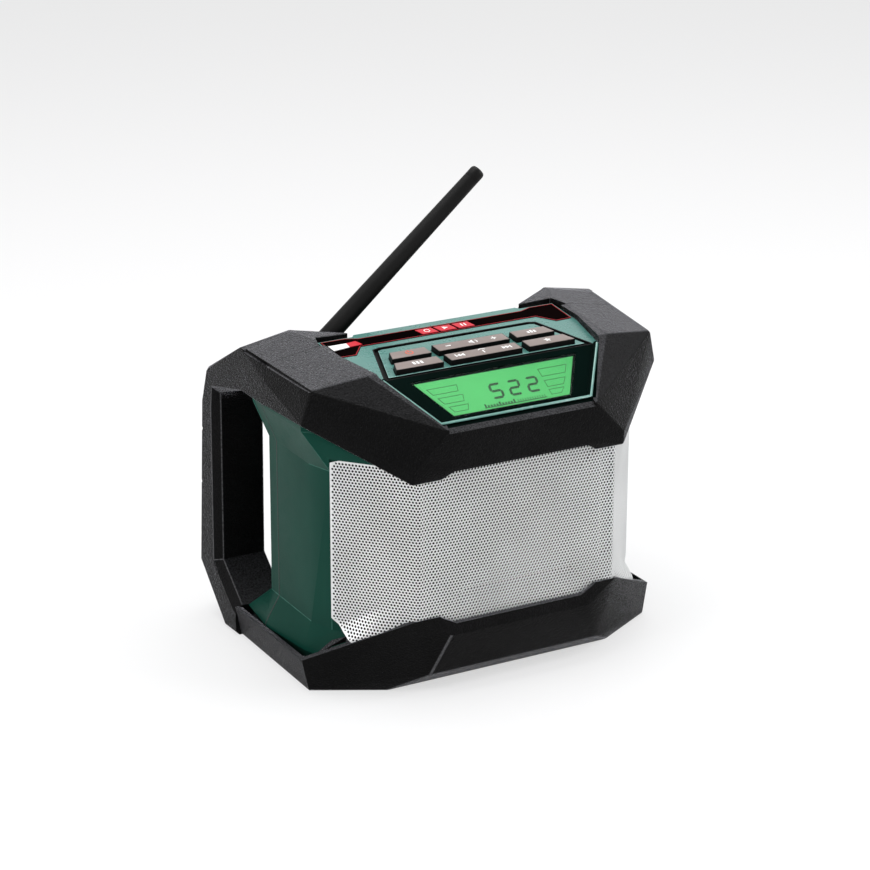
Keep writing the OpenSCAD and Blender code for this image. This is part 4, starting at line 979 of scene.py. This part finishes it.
solder_green = grainy("solder_green", (0.008, 0.085, 0.030, 1), (0.014, 0.13, 0.05, 1), 0.28, 1100.0, 0.03,
                      coat=0.3)
cast_aluminium = grainy("cast_aluminium", (0.48, 0.49, 0.50, 1), (0.56, 0.57, 0.58, 1), 0.42, 1700.0, 0.02)
for board in ("control_board", "main_board", "battery_board"):
    dress(board, solder_green)
dress("keypad_mat", seal_rubber)
dress("heat_sink", cast_aluminium)

# ---- Antenna ----
# A helical whip cased in smooth black rubber, slightly tapered, on a knuckle that tilts between the
# ears of a bracket behind the deck.

antenna_foot = np.array([-76.0, 32.0, 187.0])
whip_rise = radians(40.8)
whip_length = 158.0
foot_d, tip_d = 12.2, 9.8
whip_start, tip_length = 10.5, 8
whip_rubber = grainy("whip_rubber", (0.003, 0.003, 0.003, 1), (0.006, 0.006, 0.006, 1), 0.42, 1300.0, 0.05,
                     shine=0.12)
black_plastic = grainy("black_plastic", (0.004, 0.004, 0.004, 1), (0.008, 0.008, 0.008, 1), 0.40, 1800.0,
                       0.04, shine=0.18)


def turned(profile, foot, axis, side, material, body, name, slot_name, steps=48):
    """A profile of (radius, distance) pairs spun round an axis: circle times profile, as a grid."""
    profile = np.asarray(profile, float)
    axis = np.asarray(axis, float)
    side = np.asarray(side, float)
    across = np.cross(axis, side)
    turn = np.arange(steps) / steps * 2 * pi
    r, along = profile[:, 0][:, None, None], profile[:, 1][:, None, None]
    around = np.cos(turn)[None, :, None] * side + np.sin(turn)[None, :, None] * across
    verts = (foot + along * axis + r * around).reshape(-1, 3) * MM
    return solid(name, verts, tube_faces(len(profile), steps), material, body, slot_name, smooth=40)


along_whip = np.array([cos(whip_rise), 0, sin(whip_rise)])
whip_span = whip_length - whip_start - tip_length
tapered = [(foot_d / 2 + (tip_d - foot_d) / 2 * t, whip_start + whip_span * t)
           for t in np.linspace(0, 1, 12)]
whip = turned([(foot_d / 2 - 1.0, 9), (foot_d / 2 - 0.4, 9.3)] + tapered, antenna_foot, along_whip, (0, 1, 0),
              whip_rubber, "antenna", "whip", "black_rubber")
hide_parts("antenna_whip")
tip_r = tip_d / 2
tip = turned([(tip_r - 0.05, whip_length - tip_length), (tip_r, whip_length - 7.8),
              (tip_r, whip_length - 2.2), (tip_r - 0.3, whip_length - 1.1),
              (tip_r - 0.9, whip_length - 0.35), (tip_r - 1.9, whip_length)],
             antenna_foot, along_whip, (0, 1, 0), whip_rubber, "antenna", "whip_tip", "black_rubber")
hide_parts("antenna_tip")
rounded("antenna_knuckle", black_plastic, 0.5, least=2.0)
rounded("antenna_bracket", black_plastic, 0.5, least=2.0)

bright_steel, shade, shader = begin("bright_steel")
place = shade.make("TexCoord", out="Object")
stretched = shade.make("Mapping", Vector=place, Scale=(1.0, 8.0, 1.0))
turning = shade.make("TexNoise", Vector=stretched, Scale=1500.0, Detail=2.0)
feed(shader, Base_Color=turning.blend((0.50, 0.50, 0.52, 1), (0.60, 0.60, 0.61, 1)), Metallic=1.0,
     Roughness=turning.between(0.3, 0.7) * 0.15 + 0.24,
     Normal=shade.make("Bump", Height=turning, Distance=0.01 * MM, Strength=0.5))
dress("antenna_pin", bright_steel)
dress("port_pin", bright_steel)
dress("housing_screws", bright_steel)
dress("grip_screws", bright_steel)

# ---- Battery ----
# A slide-on pack with five cells hangs in the rails of a dock on the back, and a red button frees
# its latch.

# The pack's roundings are lightened to the same edge green: partly rubbed wear, partly a painted edge
# highlight.
pack_green = grainy("pack_green", green_dark, green_light, 0.36, 1700.0, 0.05, shine=0.08, edge=green_edge)
rounded("battery_case", pack_green, 1.6, least=4.0)
rounded("battery_lid", black_plastic, 0.6, least=4.0)
rounded("battery_dock", black_plastic, 0.6, least=4.0)
rounded("battery_latch", tile_red, 0.4, least=1.0)
latch_low, latch_high = [np.array(corner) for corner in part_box("battery_latch")]


def latch_ridge(p):
    """Ridge points (x, height up the button, rise above its face) put on the latch's rear face."""
    p = np.asarray(p, float) * MM
    middle = (latch_low + latch_high) / 2
    return np.stack([middle[0] + p[..., 0], latch_high[1] + p[..., 2], middle[2] + p[..., 1]], axis=-1)


ridge_gap, ridge_inset = 2.2, 2.5
ridge_reach = (latch_high[0] - latch_low[0]) / MM / 2 - ridge_inset
for step, name in ((-ridge_gap, "latch_ridge_low"), (0.0, "latch_ridge_middle"),
                   (ridge_gap, "latch_ridge_high")):
    beading(name, [(-ridge_reach, step), (ridge_reach, step)], 1.0, 0.45, latch_ridge, tile_red,
            frame["nodes"]["battery_latch"]["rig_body"], "red_plastic")
cell_wrap = grainy("cell_wrap", (0.03, 0.11, 0.30, 1), (0.04, 0.14, 0.36, 1), 0.25, 900.0, 0.01, coat=0.3)
brass, shade, shader = begin("contact_brass")
place = shade.make("TexCoord", out="Object")
tarnish = shade.make("TexNoise", Vector=place, Scale=300.0, Detail=3.0)
feed(shader, Base_Color=tarnish.between(0.4, 0.7).blend((0.72, 0.52, 0.22, 1), (0.55, 0.38, 0.15, 1)),
     Metallic=1.0, Roughness=tarnish * 0.2 + 0.2)
dress("battery_cells", cell_wrap)
dress("dock_terminals", brass)

# ---- Sockets ----
# An audio socket and a power socket in a recess of the back, under a rubber flap on a steel pin.

dress("aux_jack", black_plastic)
dress("dc_jack", black_plastic)
rounded("port_flap", rubber, 0.5, least=3.0)
